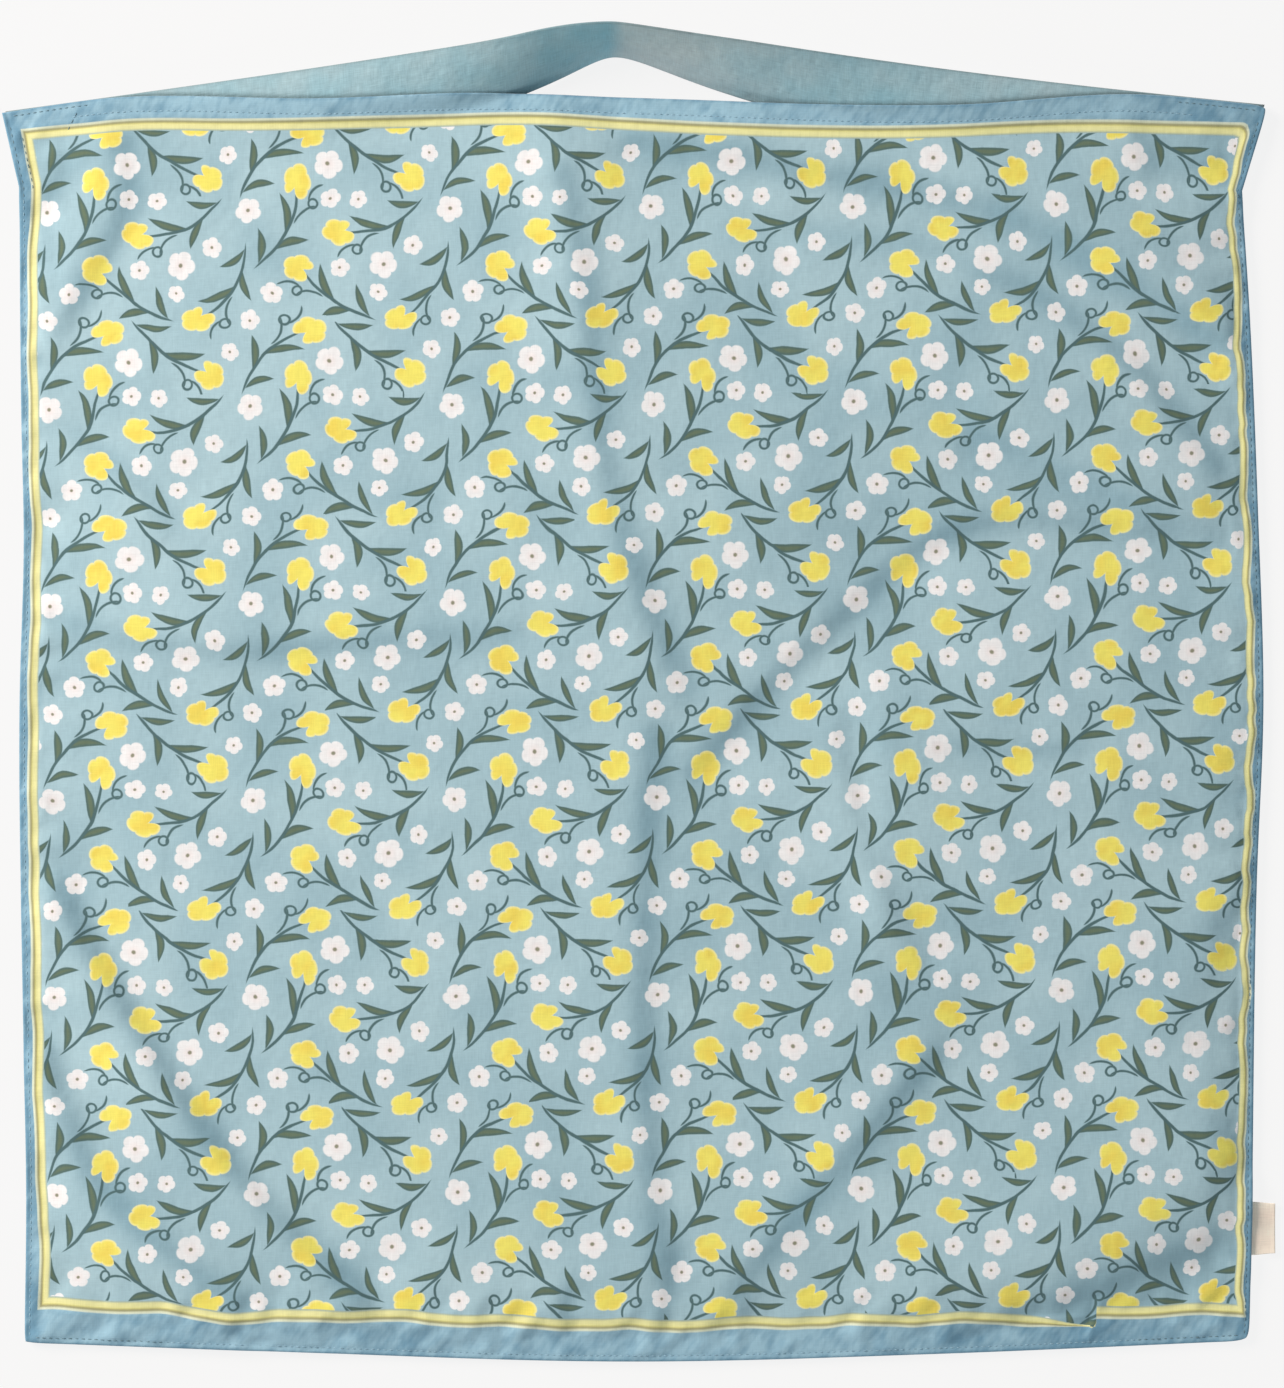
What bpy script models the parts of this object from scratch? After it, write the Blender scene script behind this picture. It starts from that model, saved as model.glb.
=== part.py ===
"""A scarf bag laid flat on a surface, in metres with +Z up.

Two square cloth panels are sewn together along their sides and foot and stay open along the
top hem. One strap is sewn in between them at both top corners, which it draws out into small
wings; its middle stands up on its inner edge. A small folded label is caught in the right seam.
The bag is drawn about its own centreline, foot at y = 0, and an empty then centres it.
"""

from collections import namedtuple

import bpy
import numpy as np

# Cloth and clearances
PANEL_THICKNESS = 0.0012
HEM_THICKNESS = 0.0017  # the same cloth turned in twice
STRAP_THICKNESS = 0.0015
LABEL_THICKNESS = 0.0005
GAP = 0.0003  # between cloth layers that are sewn or lie on each other
PANEL_INSET = 0.0015  # how far the back cloth stays inside the front one

# Hems of the front cloth
TOP_HEM = 0.011
SIDE_HEM = 0.006
FOOT_HEM = 0.016
HEM_STEP = 0.002  # width over which the hem's extra thickness runs out

# Lie of the front cloth over the back one
MIDDLE_LOFT = 0.0026
LOFT_REACH = 0.070  # the loft builds up over this distance from a seam
SEAM_FREE = 0.026  # folds run out over this distance from a seam
ROLL_RISE = 0.0021  # the puffed edge beside each side seam
ROLL_WIDTH = 0.011
ROLL_WAVE = 0.083
BLEND = 0.0024  # how softly two lifts merge, away from the seams

# Strap
STRAP_WIDTH = 0.038
STRAP_PEAK_X = -0.0100
STRAP_PEAK_Y = 0.6648
STRAP_PEAK_ROUND = 0.008
STRAP_PEAK_TILT = np.radians(72.0)
STRAP_LEFT_DECAY = 3.6  # how fast the tilt dies out along each arm
STRAP_RIGHT_DECAY = 2.2
STRAP_CREASE = 0.045  # half the soft crease at the peak, as a share of one arm
STRAP_RIGHT_SAG = 0.0022
STRAP_END_INSET = 0.0015
STRAP_STATIONS = 33  # sections along one arm
STRAP_STRIPS = 4

# Side label
LABEL_WIDTH = 0.0265
LABEL_SHOWN = 0.0115
LABEL_SEWN_IN = 0.0065
LABEL_MIDDLE_Y = 0.0665
LABEL_DROP = 0.0012

# Grid of the front cloth
CELLS_ACROSS = 44
CELLS_UP = 46
WING_CELLS = 4

# Outline: share up the side (or along the hem), x, y. The wings run straight from the side's
# last point to the corner.
LEFT_SIDE = (
    (0.00, -0.3052, 0.0095),
    (0.12, -0.3043, 0.0790),
    (0.30, -0.3061, 0.1830),
    (0.55, -0.3077, 0.3270),
    (0.70, -0.3056, 0.4130),
    (0.80, -0.3068, 0.4710),
    (1.00, -0.3077, 0.5865),
)
RIGHT_SIDE = (
    (0.00, 0.3053, 0.0105),
    (0.10, 0.3086, 0.0680),
    (0.40, 0.3104, 0.2400),
    (0.56, 0.3137, 0.3300),
    (0.72, 0.3110, 0.4240),
    (0.88, 0.3072, 0.5160),
    (1.00, 0.3028, 0.5845),
)
FOOT = (
    (0.00, -0.3052, 0.0095),
    (0.20, -0.1790, 0.0050),
    (0.50, 0.0010, 0.0000),
    (0.75, 0.1500, 0.0038),
    (1.00, 0.3053, 0.0105),
)
TOP = (
    (0.00, -0.3162, 0.6235),
    (0.09, -0.2620, 0.6312),
    (0.25, -0.1580, 0.6326),
    (0.40, -0.0660, 0.6328),
    (0.50, 0.0040, 0.6305),
    (0.75, 0.1600, 0.6288),
    (0.90, 0.2530, 0.6322),
    (1.00, 0.3157, 0.6270),
)
WING_SHARE = 0.935  # of a side's height, where the wing begins

# Folds: each is a soft crease along a bowed line. Widths are those on the left and right hand
# of someone walking from its start to its end; a negative rise is a trough.
Fold = namedtuple("Fold", "name x0 y0 x1 y1 bow rise left right fade")
FOLDS = (
    Fold("middle_swell", -0.0100, 0.5300, 0.0000, 0.0700, 0.000, 0.0038, 0.150, 0.170, 0.080),
    Fold("mouth", -0.0420, 0.6500, -0.0300, 0.5600, 0.000, 0.0050, 0.030, 0.020, 0.050),
    Fold("centre_top", -0.0360, 0.6000, -0.0020, 0.3700, 0.006, 0.0036, 0.016, 0.034, 0.060),
    Fold("centre_foot", 0.0000, 0.3900, 0.0045, 0.0350, 0.000, 0.0024, 0.018, 0.040, 0.070),
    Fold("left_foot_long", -0.2980, 0.2450, -0.1500, 0.0360, -0.012, 0.0056, 0.015, 0.026, 0.045),
    Fold("left_foot_valley", -0.2820, 0.2450, -0.1400, 0.0460, -0.012, -0.0030, 0.026, 0.012, 0.040),
    Fold("left_foot_short", -0.2960, 0.1430, -0.1900, 0.0240, -0.006, 0.0064, 0.013, 0.020, 0.030),
    Fold("left_foot_dip", -0.2840, 0.1560, -0.1760, 0.0360, -0.006, -0.0026, 0.020, 0.012, 0.030),
    Fold("right_foot", 0.1480, 0.1740, 0.0440, 0.0240, 0.008, 0.0042, 0.018, 0.030, 0.035),
    Fold("right_foot_hollow", 0.1700, 0.1500, 0.0900, 0.0300, 0.006, -0.0024, 0.030, 0.034, 0.040),
    Fold("right_top", 0.0600, 0.6180, 0.3000, 0.5320, 0.012, 0.0050, 0.040, 0.018, 0.040),
    Fold("right_shoulder", 0.1500, 0.4900, 0.3000, 0.4300, 0.014, 0.0034, 0.050, 0.026, 0.050),
    Fold("right_trough", 0.1200, 0.4020, 0.3000, 0.4030, 0.006, -0.0050, 0.034, 0.022, 0.040),
    Fold("right_trough_tail", 0.1300, 0.4000, 0.0720, 0.3360, 0.008, -0.0028, 0.020, 0.024, 0.030),
    Fold("left_middle", -0.2950, 0.3620, -0.0900, 0.3590, 0.002, 0.0034, 0.060, 0.013, 0.060),
    Fold("left_top", -0.2660, 0.6050, -0.3010, 0.4980, 0.004, 0.0044, 0.014, 0.020, 0.030),
    Fold("right_middle", 0.1240, 0.3180, 0.1230, 0.2300, 0.002, 0.0032, 0.030, 0.012, 0.025),
    Fold("right_corner", 0.3000, 0.1050, 0.1450, 0.0400, 0.010, 0.0050, 0.024, 0.060, 0.040),
    Fold("right_seam", 0.3000, 0.3000, 0.2750, 0.1900, 0.006, 0.0034, 0.016, 0.024, 0.030),
)

CLOTH_BLUE = (0.335, 0.475, 0.520)
STRAP_BLUE = (0.270, 0.415, 0.455)
LABEL_CREAM = (0.760, 0.640, 0.540)


def soft_step(value, start, end):
    """0 before start, 1 after end and a smooth rise between them."""
    t = np.clip((value - start) / (end - start), 0.0, 1.0)
    return t * t * (3.0 - 2.0 * t)


def larger_of(a, b, blend):
    """The larger of two lifts, rounded where they come within blend of each other."""
    blend = np.maximum(blend, 1e-6)
    return np.maximum(a, b) + np.maximum(blend - np.abs(a - b), 0.0) ** 2 / (4.0 * blend)


def along(rows, share):
    """Points on the smooth curve through a table's rows, at these shares of its length."""
    rows = np.array(rows)
    at, points = rows[:, 0], rows[:, 1:]
    slopes = np.gradient(points, at, axis=0)
    share = np.asarray(share, dtype=float)
    i = np.clip(np.searchsorted(at, share, side="right") - 1, 0, len(at) - 2)
    span = (at[i + 1] - at[i])[..., None]
    t = (share - at[i])[..., None] / span
    start, end = points[i], points[i + 1]
    leave, arrive = slopes[i] * span, slopes[i + 1] * span
    return (
        (1 + 2 * t) * (1 - t) ** 2 * start
        + t * (1 - t) ** 2 * leave
        + t * t * (3 - 2 * t) * end
        - t * t * (1 - t) * arrive
    )


def side_points(rows, corner, share):
    """A side's curve up to the wing, then straight to its corner."""
    share = np.asarray(share, dtype=float)
    lower = along(rows, np.clip(share / WING_SHARE, 0.0, 1.0))
    wing = np.clip((share - WING_SHARE) / (1.0 - WING_SHARE), 0.0, 1.0)[..., None]
    return lower * (1.0 - wing) + np.array(corner) * wing


def on_panel(across, up):
    """Plan positions of the front cloth: its four edges blended across the square."""
    left = side_points(LEFT_SIDE, TOP[0][1:], up)
    right = side_points(RIGHT_SIDE, TOP[-1][1:], up)
    foot, top = along(FOOT, across), along(TOP, across)
    corners = (
        np.multiply.outer((1 - across) * (1 - up), np.array(FOOT[0][1:]))
        + np.multiply.outer(across * (1 - up), np.array(FOOT[-1][1:]))
        + np.multiply.outer((1 - across) * up, np.array(TOP[0][1:]))
        + np.multiply.outer(across * up, np.array(TOP[-1][1:]))
    )
    a, u = across[..., None], up[..., None]
    return (1 - a) * left + a * right + (1 - u) * foot + u * top - corners


def fold_lift(x, y):
    """The sum of all folds at these places."""
    lift = np.zeros_like(x)
    for fold in FOLDS:
        run = np.hypot(fold.x1 - fold.x0, fold.y1 - fold.y0)
        dx, dy = (fold.x1 - fold.x0) / run, (fold.y1 - fold.y0) / run
        t = ((x - fold.x0) * dx + (y - fold.y0) * dy) / run
        beside = (y - fold.y0) * dx - (x - fold.x0) * dy - fold.bow * 4.0 * t * (1.0 - t)
        width = np.where(beside > 0.0, fold.left, fold.right)
        crease = np.exp(0.4 - np.sqrt((beside / width) ** 2 + 0.16))
        past_end = np.maximum(0.0, np.maximum(-t, t - 1.0)) * run / fold.fade
        lift += fold.rise * crease * np.exp(-(past_end**2))
    return lift


def strap_arm(x):
    """How far along its arm the strap is at x: 0 at the peak, 1 at a corner."""
    arm = np.where(x < STRAP_PEAK_X, STRAP_PEAK_X - TOP[0][1], TOP[-1][1] - STRAP_PEAK_X)
    return np.abs(x - STRAP_PEAK_X) / arm


def strap_tilt(x):
    """The strap lies flat at the corners and tilts up on its inner edge towards the peak."""
    share = np.sqrt(strap_arm(x) ** 2 + STRAP_CREASE**2) - STRAP_CREASE
    decay = np.where(x < STRAP_PEAK_X, STRAP_LEFT_DECAY, STRAP_RIGHT_DECAY)
    fall = np.exp(-decay * share) - np.exp(-decay)
    return STRAP_PEAK_TILT * np.clip(fall, 0.0, None) / (1.0 - np.exp(-decay))


def strap_outer_y(x):
    """The outer edge in plan: two nearly straight arms that meet in a rounded peak."""
    corner_y = np.where(x < STRAP_PEAK_X, TOP[0][2], TOP[-1][2])
    arm = strap_arm(x)
    rounding = STRAP_PEAK_ROUND / (STRAP_PEAK_X - TOP[0][1])
    along_arm = np.sqrt(arm**2 + rounding**2) - rounding
    sag = np.where(x > STRAP_PEAK_X, STRAP_RIGHT_SAG * np.sin(np.pi * np.clip(arm, 0, 1)), 0.0)
    return STRAP_PEAK_Y - (STRAP_PEAK_Y - corner_y) * along_arm - sag


def strap_inner_y(x):
    return strap_outer_y(x) - STRAP_WIDTH * np.cos(strap_tilt(x))


def strap_foot_z(x):
    """Height of the strap's inner edge: on the back cloth, or on the surface beyond its hem."""
    share = (x - TOP[0][1]) / (TOP[-1][1] - TOP[0][1])
    past_hem = strap_inner_y(x) - along(TOP, np.clip(share, 0.0, 1.0))[..., 1]
    on_back = PANEL_THICKNESS + GAP
    return on_back * (1.0 - soft_step(past_hem, 0.002, 0.012))


def strap_lift(x, y):
    """What the strap under the front cloth raises it by, above the back cloth's gap."""
    inner, outer = strap_inner_y(x), strap_outer_y(x)
    up_strap = np.clip((y - inner) / (outer - inner), 0.0, 1.0)
    tilt = strap_tilt(x)
    clear = GAP * (1.0 + 3.0 * np.sin(tilt))  # more where the strap's slope meets the hem
    needed = STRAP_THICKNESS / np.cos(tilt) + clear + up_strap * STRAP_WIDTH * np.sin(tilt)
    return needed * soft_step(y, inner - 0.024, inner - 0.007)


def label_lift(x, y):
    """What the label sewn into the right seam raises the front cloth by."""
    needed = 2.0 * LABEL_THICKNESS + 3.0 * GAP
    near_seam = soft_step(x, 0.284, 0.298)
    past_label = np.abs(y - LABEL_MIDDLE_Y) - 0.5 * LABEL_WIDTH
    return needed * near_seam * (1.0 - soft_step(past_label, 0.004, 0.022))


def panel_underside(x, y, from_side, from_foot):
    """Height of the front cloth's underside. from_side and from_foot are distances to the seams."""
    inside = soft_step(from_side, 0.0, LOFT_REACH) * soft_step(from_foot, 0.0, LOFT_REACH)
    loose = soft_step(from_side, 0.0, SEAM_FREE) * soft_step(from_foot, 0.0, SEAM_FREE)
    loft = MIDDLE_LOFT * inside
    folds = fold_lift(x, y) * loose
    wave = 0.65 + 0.35 * np.sin(2.0 * np.pi * y / ROLL_WAVE + 5.0 * x)
    roll = ROLL_RISE * wave * np.exp(-(((from_side - ROLL_WIDTH) / (0.6 * ROLL_WIDTH)) ** 2))
    blend = BLEND * loose
    free = larger_of(loft + folds + roll, 0.0, blend)
    held = np.maximum(strap_lift(x, y), label_lift(x, y))
    return PANEL_THICKNESS + GAP + larger_of(free, held, blend)


def stations(cells, first_hem, last_hem, ends_at=1.0):
    """Shares of a panel's side for its grid lines, with a pair of lines at each hem's edge."""
    inner = np.linspace(first_hem + HEM_STEP, ends_at - last_hem - HEM_STEP, cells + 1)
    return np.concatenate(([0.0, first_hem], inner, [ends_at - last_hem, ends_at]))


def add_object(name, vertices, faces, colour, collection, parent):
    """A named mesh object with its own cloth material."""
    mesh = bpy.data.meshes.new(name)
    mesh.from_pydata([tuple(map(float, v)) for v in vertices], [], faces)
    mesh.update()
    piece = bpy.data.objects.new(name, mesh)
    collection.objects.link(piece)
    piece.parent = parent
    material = bpy.data.materials.new(name + "_cloth")
    material.use_nodes = True
    shader = material.node_tree.nodes["Principled BSDF"]
    shader.inputs["Base Color"].default_value = (*colour, 1.0)
    shader.inputs["Roughness"].default_value = 0.85
    shader.inputs["Metallic"].default_value = 0.0
    mesh.materials.append(material)
    return piece


def grid_faces(rows, columns):
    """Quads of a grid whose points are listed row by row."""
    return [
        (r * columns + c, r * columns + c + 1, (r + 1) * columns + c + 1, (r + 1) * columns + c)
        for r in range(rows - 1)
        for c in range(columns - 1)
    ]


def thicken(piece, thickness, offset, thin_group=None, thin_share=1.0):
    """Give an open sheet its thickness; the sheet keeps its own side where offset is 1 or -1."""
    solid = piece.modifiers.new("Thickness", "SOLIDIFY")
    solid.thickness = thickness
    solid.offset = offset
    if thin_group is not None:
        solid.vertex_group = thin_group
        solid.thickness_vertex_group = thin_share
    return solid


def make_front_panel(collection, parent):
    """The printed cloth with its hems, wings and folds."""
    width = RIGHT_SIDE[2][1] - LEFT_SIDE[2][1]
    height = TOP[4][2]
    across = stations(CELLS_ACROSS, SIDE_HEM / width, SIDE_HEM / width)
    below_wing = stations(CELLS_UP, FOOT_HEM / height, 0.0, WING_SHARE)[:-2]
    wing = np.linspace(WING_SHARE, 1.0 - (TOP_HEM + HEM_STEP) / height, WING_CELLS)
    up = np.concatenate((below_wing[:-1], wing, [1.0 - TOP_HEM / height, 1.0]))
    a, u = np.meshgrid(across, up)
    x, y = np.moveaxis(on_panel(a, u), -1, 0)
    from_side = np.minimum(a, 1.0 - a) * width
    from_foot = u * height
    z = panel_underside(x, y, from_side, from_foot)
    points = np.stack((x, y, z), axis=-1).reshape(-1, 3)
    piece = add_object(
        "front_panel", points, grid_faces(len(up), len(across)), CLOTH_BLUE, collection, parent
    )
    to_top = (1.0 - u) * height
    slack = 0.0005  # grid lines at a hem's edge count as in the hem
    in_hem = (from_side < SIDE_HEM + slack) | (from_foot < FOOT_HEM + slack) | (to_top < TOP_HEM + slack)
    hem = piece.vertex_groups.new(name="hem")
    hem.add([int(i) for i in np.flatnonzero(in_hem.ravel())], 1.0, "REPLACE")
    thicken(piece, HEM_THICKNESS, 1.0, "hem", PANEL_THICKNESS / HEM_THICKNESS)
    return piece


def make_back_panel(collection, parent):
    """The plain cloth behind, flat on the surface and just inside the front one's outline."""
    edge = np.linspace(0.0, 1.0, 25)
    side = np.concatenate((np.linspace(0.0, WING_SHARE, 19), [1.0]))
    foot = on_panel(edge, np.zeros_like(edge))
    right = on_panel(np.ones_like(side), side)[1:]
    top = on_panel(edge[::-1], np.ones_like(edge))[1:]
    left = on_panel(np.zeros_like(side), side[::-1])[1:-1]
    ring = np.concatenate((foot, right, top, left))
    middle = ring.mean(axis=0)
    half = 0.5 * (ring.max(axis=0) - ring.min(axis=0))
    ring = middle + (ring - middle) * (1.0 - PANEL_INSET / half)
    points = np.column_stack((ring, np.zeros(len(ring))))
    piece = add_object(
        "back_panel", points, [tuple(range(len(ring)))], CLOTH_BLUE, collection, parent
    )
    thicken(piece, PANEL_THICKNESS, 1.0)
    return piece


def make_strap(collection, parent):
    """A ribbon lofted between its outer and inner edges, from one corner to the other."""
    ends = ((TOP[0], LEFT_SIDE[-1], -1.0), (TOP[-1], RIGHT_SIDE[-1], 1.0))
    arms = []
    for tip, kink, way in ends:
        share = np.linspace(0.0, 1.0, STRAP_STATIONS) ** 1.5
        reach = way * (tip[1] - STRAP_PEAK_X) - STRAP_END_INSET
        outer_x = STRAP_PEAK_X + way * reach * share
        slant = (kink[1] - tip[1]) * share**2  # the cut end follows the wing's edge
        outer = np.column_stack((outer_x, strap_outer_y(outer_x) - GAP))
        inner = np.column_stack((outer_x + slant, strap_inner_y(outer_x) - GAP))
        foot, rise = strap_foot_z(outer_x), STRAP_WIDTH * np.sin(strap_tilt(outer_x))
        arms.append((np.column_stack((inner, foot)), np.column_stack((outer, foot + rise))))
    inner = np.concatenate((arms[0][0][::-1], arms[1][0][1:]))
    outer = np.concatenate((arms[0][1][::-1], arms[1][1][1:]))
    over = np.linspace(0.0, 1.0, STRAP_STRIPS + 1)[:, None, None]
    points = inner * (1.0 - over) + outer * over
    faces = grid_faces(STRAP_STRIPS + 1, len(inner))
    piece = add_object(
        "shoulder_strap", points.reshape(-1, 3), faces, STRAP_BLUE, collection, parent
    )
    thicken(piece, STRAP_THICKNESS, 1.0)
    return piece


def make_label(collection, parent):
    """A narrow tape folded in half, its two ends in the seam and its fold outside it."""
    seam_x = along(RIGHT_SIDE, LABEL_MIDDLE_Y / RIGHT_SIDE[-1][2])[0]
    inside, tip = seam_x - LABEL_SEWN_IN, seam_x + LABEL_SHOWN
    turn = 0.5 * (LABEL_THICKNESS + GAP)  # radius of the fold at mid-thickness
    low = PANEL_THICKNESS + GAP + 0.5 * LABEL_THICKNESS
    lower_x = np.linspace(inside, tip - turn, 9)
    droop = LABEL_DROP * soft_step(lower_x, seam_x + 0.001, tip)
    angle = np.linspace(-0.5 * np.pi, 0.5 * np.pi, 7)[1:-1]
    fold_x = tip - turn + turn * np.cos(angle)
    fold_z = low - droop[-1] + turn * (1.0 + np.sin(angle))
    profile_x = np.concatenate((lower_x, fold_x, lower_x[::-1]))
    profile_z = np.concatenate((low - droop, fold_z, (low + 2.0 * turn - droop)[::-1]))
    across = LABEL_MIDDLE_Y + LABEL_WIDTH * np.array([-0.5, 0.0, 0.5])
    points = [(x, y, z) for y in across for x, z in zip(profile_x, profile_z)]
    faces = grid_faces(len(across), len(profile_x))
    piece = add_object("side_label", points, faces, LABEL_CREAM, collection, parent)
    thicken(piece, LABEL_THICKNESS, 0.0)
    return piece


def centre_over_origin(root, pieces):
    """Put the middle of the bag's box over the origin, its lowest point on the surface."""
    bpy.context.view_layer.update()
    graph = bpy.context.evaluated_depsgraph_get()
    corners = np.array(
        [corner[:] for piece in pieces for corner in piece.evaluated_get(graph).bound_box]
    )
    low, high = corners.min(axis=0), corners.max(axis=0)
    middle = 0.5 * (low + high)
    root.location = (-middle[0], -middle[1], -low[2])


def main():
    for old in list(bpy.data.objects):
        bpy.data.objects.remove(old)
    collection = bpy.data.collections.new("scarf_bag")
    bpy.context.scene.collection.children.link(collection)
    root = bpy.data.objects.new("bag_middle", None)
    collection.objects.link(root)
    makers = (make_back_panel, make_front_panel, make_strap, make_label)
    pieces = [make(collection, root) for make in makers]
    centre_over_origin(root, pieces)
    return pieces


main()
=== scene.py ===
import bpy
import numpy as np
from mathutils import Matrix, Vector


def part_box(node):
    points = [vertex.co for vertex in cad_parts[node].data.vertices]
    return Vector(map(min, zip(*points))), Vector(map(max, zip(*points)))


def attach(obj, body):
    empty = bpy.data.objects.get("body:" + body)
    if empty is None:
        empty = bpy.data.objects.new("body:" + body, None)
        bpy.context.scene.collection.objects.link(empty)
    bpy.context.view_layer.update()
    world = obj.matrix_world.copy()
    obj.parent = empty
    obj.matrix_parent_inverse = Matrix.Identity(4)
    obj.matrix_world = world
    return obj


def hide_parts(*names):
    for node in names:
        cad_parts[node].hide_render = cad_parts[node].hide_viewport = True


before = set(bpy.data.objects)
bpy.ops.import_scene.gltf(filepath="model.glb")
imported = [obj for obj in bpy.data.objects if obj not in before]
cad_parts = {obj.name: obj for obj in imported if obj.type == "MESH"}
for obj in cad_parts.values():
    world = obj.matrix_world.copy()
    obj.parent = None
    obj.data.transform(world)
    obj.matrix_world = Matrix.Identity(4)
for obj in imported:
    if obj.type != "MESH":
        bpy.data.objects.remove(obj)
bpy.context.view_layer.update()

# How the bag lies, in metres, drawn about its own centreline with its foot at y = 0; place()
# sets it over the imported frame.

bag = dict(
    panelThickness=0.0012,
    hemThickness=0.0017,
    gap=0.0003,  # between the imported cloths
    topHem=0.011,
    sideHem=0.006,
    footHem=0.016,
    middleLoft=0.0026,
    loftReach=0.070,  # from the edges to full loft
    seamFree=0.026,  # from the seams to where folds have their full rise
    rollRise=0.0010,  # the puffed roll inside the seams
    rollWidth=0.011,
    rollWave=0.083,
    blend=0.0024,
    wingShare=0.935,  # of a side's height, where the drawn-out corner begins
    span=0.62,  # the cloth's width, near enough to turn shares into metres
    cornerRound=0.0032,
    leftPull=0.0006,
    rightPull=0.0016,
    wingPull=0.0015,
)

# share up the side or along the hem, x, y
leftSide = (
    (0, -0.3052, 0.0095), (0.12, -0.3043, 0.079), (0.3, -0.3061, 0.183),
    (0.55, -0.3077, 0.327), (0.7, -0.3056, 0.413), (0.8, -0.3068, 0.471),
    (1, -0.3077, 0.5865),
)
rightSide = (
    (0, 0.3066, 0.0105), (0.1, 0.3078, 0.068), (0.4, 0.3104, 0.24),
    (0.56, 0.3137, 0.33), (0.72, 0.311, 0.424), (0.88, 0.3072, 0.516),
    (1, 0.3028, 0.5845),
)
footEdge = (
    (0, -0.3052, 0.0095), (0.2, -0.179, 0.005), (0.5, 0.001, 0),
    (0.75, 0.15, 0.0038), (1, 0.3066, 0.0105),
)
topEdge = (
    (0, -0.3162, 0.6235), (0.09, -0.262, 0.6307), (0.25, -0.158, 0.6302),
    (0.4, -0.066, 0.6328), (0.5, 0.004, 0.6305), (0.75, 0.16, 0.6268),
    (0.9, 0.253, 0.6322), (1, 0.3157, 0.627),
)

# from x, y to x, y, bow, rise, width to the left, width to the right, fade past the ends
folds = dict(
    middleSwell=(-0.01, 0.53, 0, 0.07, 0, 0.0022, 0.15, 0.17, 0.08),
    mouth=(-0.042, 0.65, -0.03, 0.56, 0, 0.0022, 0.03, 0.02, 0.05),
    centreTop=(-0.036, 0.6, -0.002, 0.37, 0.006, 0.0012, 0.016, 0.034, 0.06),
    centreFoot=(0, 0.39, 0.0045, 0.035, 0, 0.0009, 0.018, 0.04, 0.07),
    leftFootLong=(-0.298, 0.245, -0.15, 0.036, -0.012, 0.0024, 0.015, 0.026, 0.045),
    leftFootValley=(-0.282, 0.245, -0.14, 0.046, -0.012, -0.0014, 0.026, 0.012, 0.04),
    leftFootShort=(-0.296, 0.143, -0.19, 0.024, -0.006, 0.003, 0.013, 0.02, 0.03),
    leftFootDip=(-0.284, 0.156, -0.176, 0.036, -0.006, -0.0012, 0.02, 0.012, 0.03),
    rightFoot=(0.148, 0.174, 0.044, 0.024, 0.008, 0.0018, 0.018, 0.03, 0.035),
    rightFootHollow=(0.17, 0.15, 0.09, 0.03, 0.006, -0.0011, 0.03, 0.034, 0.04),
    rightTop=(0.06, 0.618, 0.3, 0.532, 0.012, 0.0024, 0.04, 0.018, 0.04),
    rightShoulder=(0.15, 0.49, 0.3, 0.43, 0.014, 0.0018, 0.05, 0.026, 0.05),
    rightTrough=(0.12, 0.402, 0.3, 0.403, 0.006, -0.002, 0.034, 0.022, 0.04),
    rightTroughTail=(0.13, 0.4, 0.072, 0.336, 0.008, -0.0011, 0.02, 0.024, 0.03),
    leftMiddle=(-0.295, 0.362, -0.09, 0.359, 0.002, 0.0014, 0.06, 0.013, 0.06),
    leftTop=(-0.266, 0.605, -0.301, 0.498, 0.004, 0.002, 0.014, 0.02, 0.03),
    rightMiddle=(0.124, 0.318, 0.123, 0.23, 0.002, 0.0024, 0.03, 0.012, 0.025),
    rightCorner=(0.3, 0.105, 0.145, 0.04, 0.01, 0.005, 0.024, 0.06, 0.04),
    rightSeam=(0.3, 0.3, 0.275, 0.19, 0.006, 0.002, 0.016, 0.024, 0.03),
)


# 0 before start, 1 after end, t*t*(3 - 2t) between
def softStep(value, start, end):
    t = np.clip((value - start) / (end - start), 0.0, 1.0)
    return t * t * (3.0 - 2.0 * t)


# 1 before start, 0 after end
def easeOut(value, start, end):
    return 1.0 - softStep(value, start, end)


# exp(-(distance / width)^2)
def bell(distance, width):
    return np.exp(-((distance / width) ** 2))


def unit(ways):
    return ways / np.linalg.norm(ways, axis=-1, keepdims=True)


# the length run so far at each of a row of points
def runsAlong(points):
    return np.concatenate(([0.0], np.cumsum(np.linalg.norm(np.diff(points, axis=0), axis=1))))


# the larger of two heights, plus (blend - difference)^2 / 4 blend where they come close
def largerOf(a, b, blend):
    blend = np.maximum(blend, 1e-6)
    return np.maximum(a, b) + np.maximum(blend - np.abs(a - b), 0.0) ** 2 / (4.0 * blend)


# the cubic Hermite curve through a table's rows, slopes from the neighbouring rows
def along(rows, share):
    rows = np.array(rows, dtype=float)
    at, points = rows[:, 0], rows[:, 1:]
    slopes = np.gradient(points, at, axis=0)
    share = np.asarray(share, dtype=float)
    i = np.clip(np.searchsorted(at, share, side="right") - 1, 0, len(at) - 2)
    span = (at[i + 1] - at[i])[..., None]
    t = (share - at[i])[..., None] / span
    return (
        (1 + 2 * t) * (1 - t) ** 2 * points[i]
        + t * (1 - t) ** 2 * slopes[i] * span
        + t * t * (3 - 2 * t) * points[i + 1]
        - t * t * (1 - t) * slopes[i + 1] * span
    )


# a side's curve up to the wing, then straight to its corner
def sidePoints(rows, corner, share):
    lower = along(rows, np.clip(share / bag["wingShare"], 0.0, 1.0))
    wing = np.clip((share - bag["wingShare"]) / (1.0 - bag["wingShare"]), 0.0, 1.0)[..., None]
    return lower * (1.0 - wing) + np.array(corner) * wing


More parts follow.
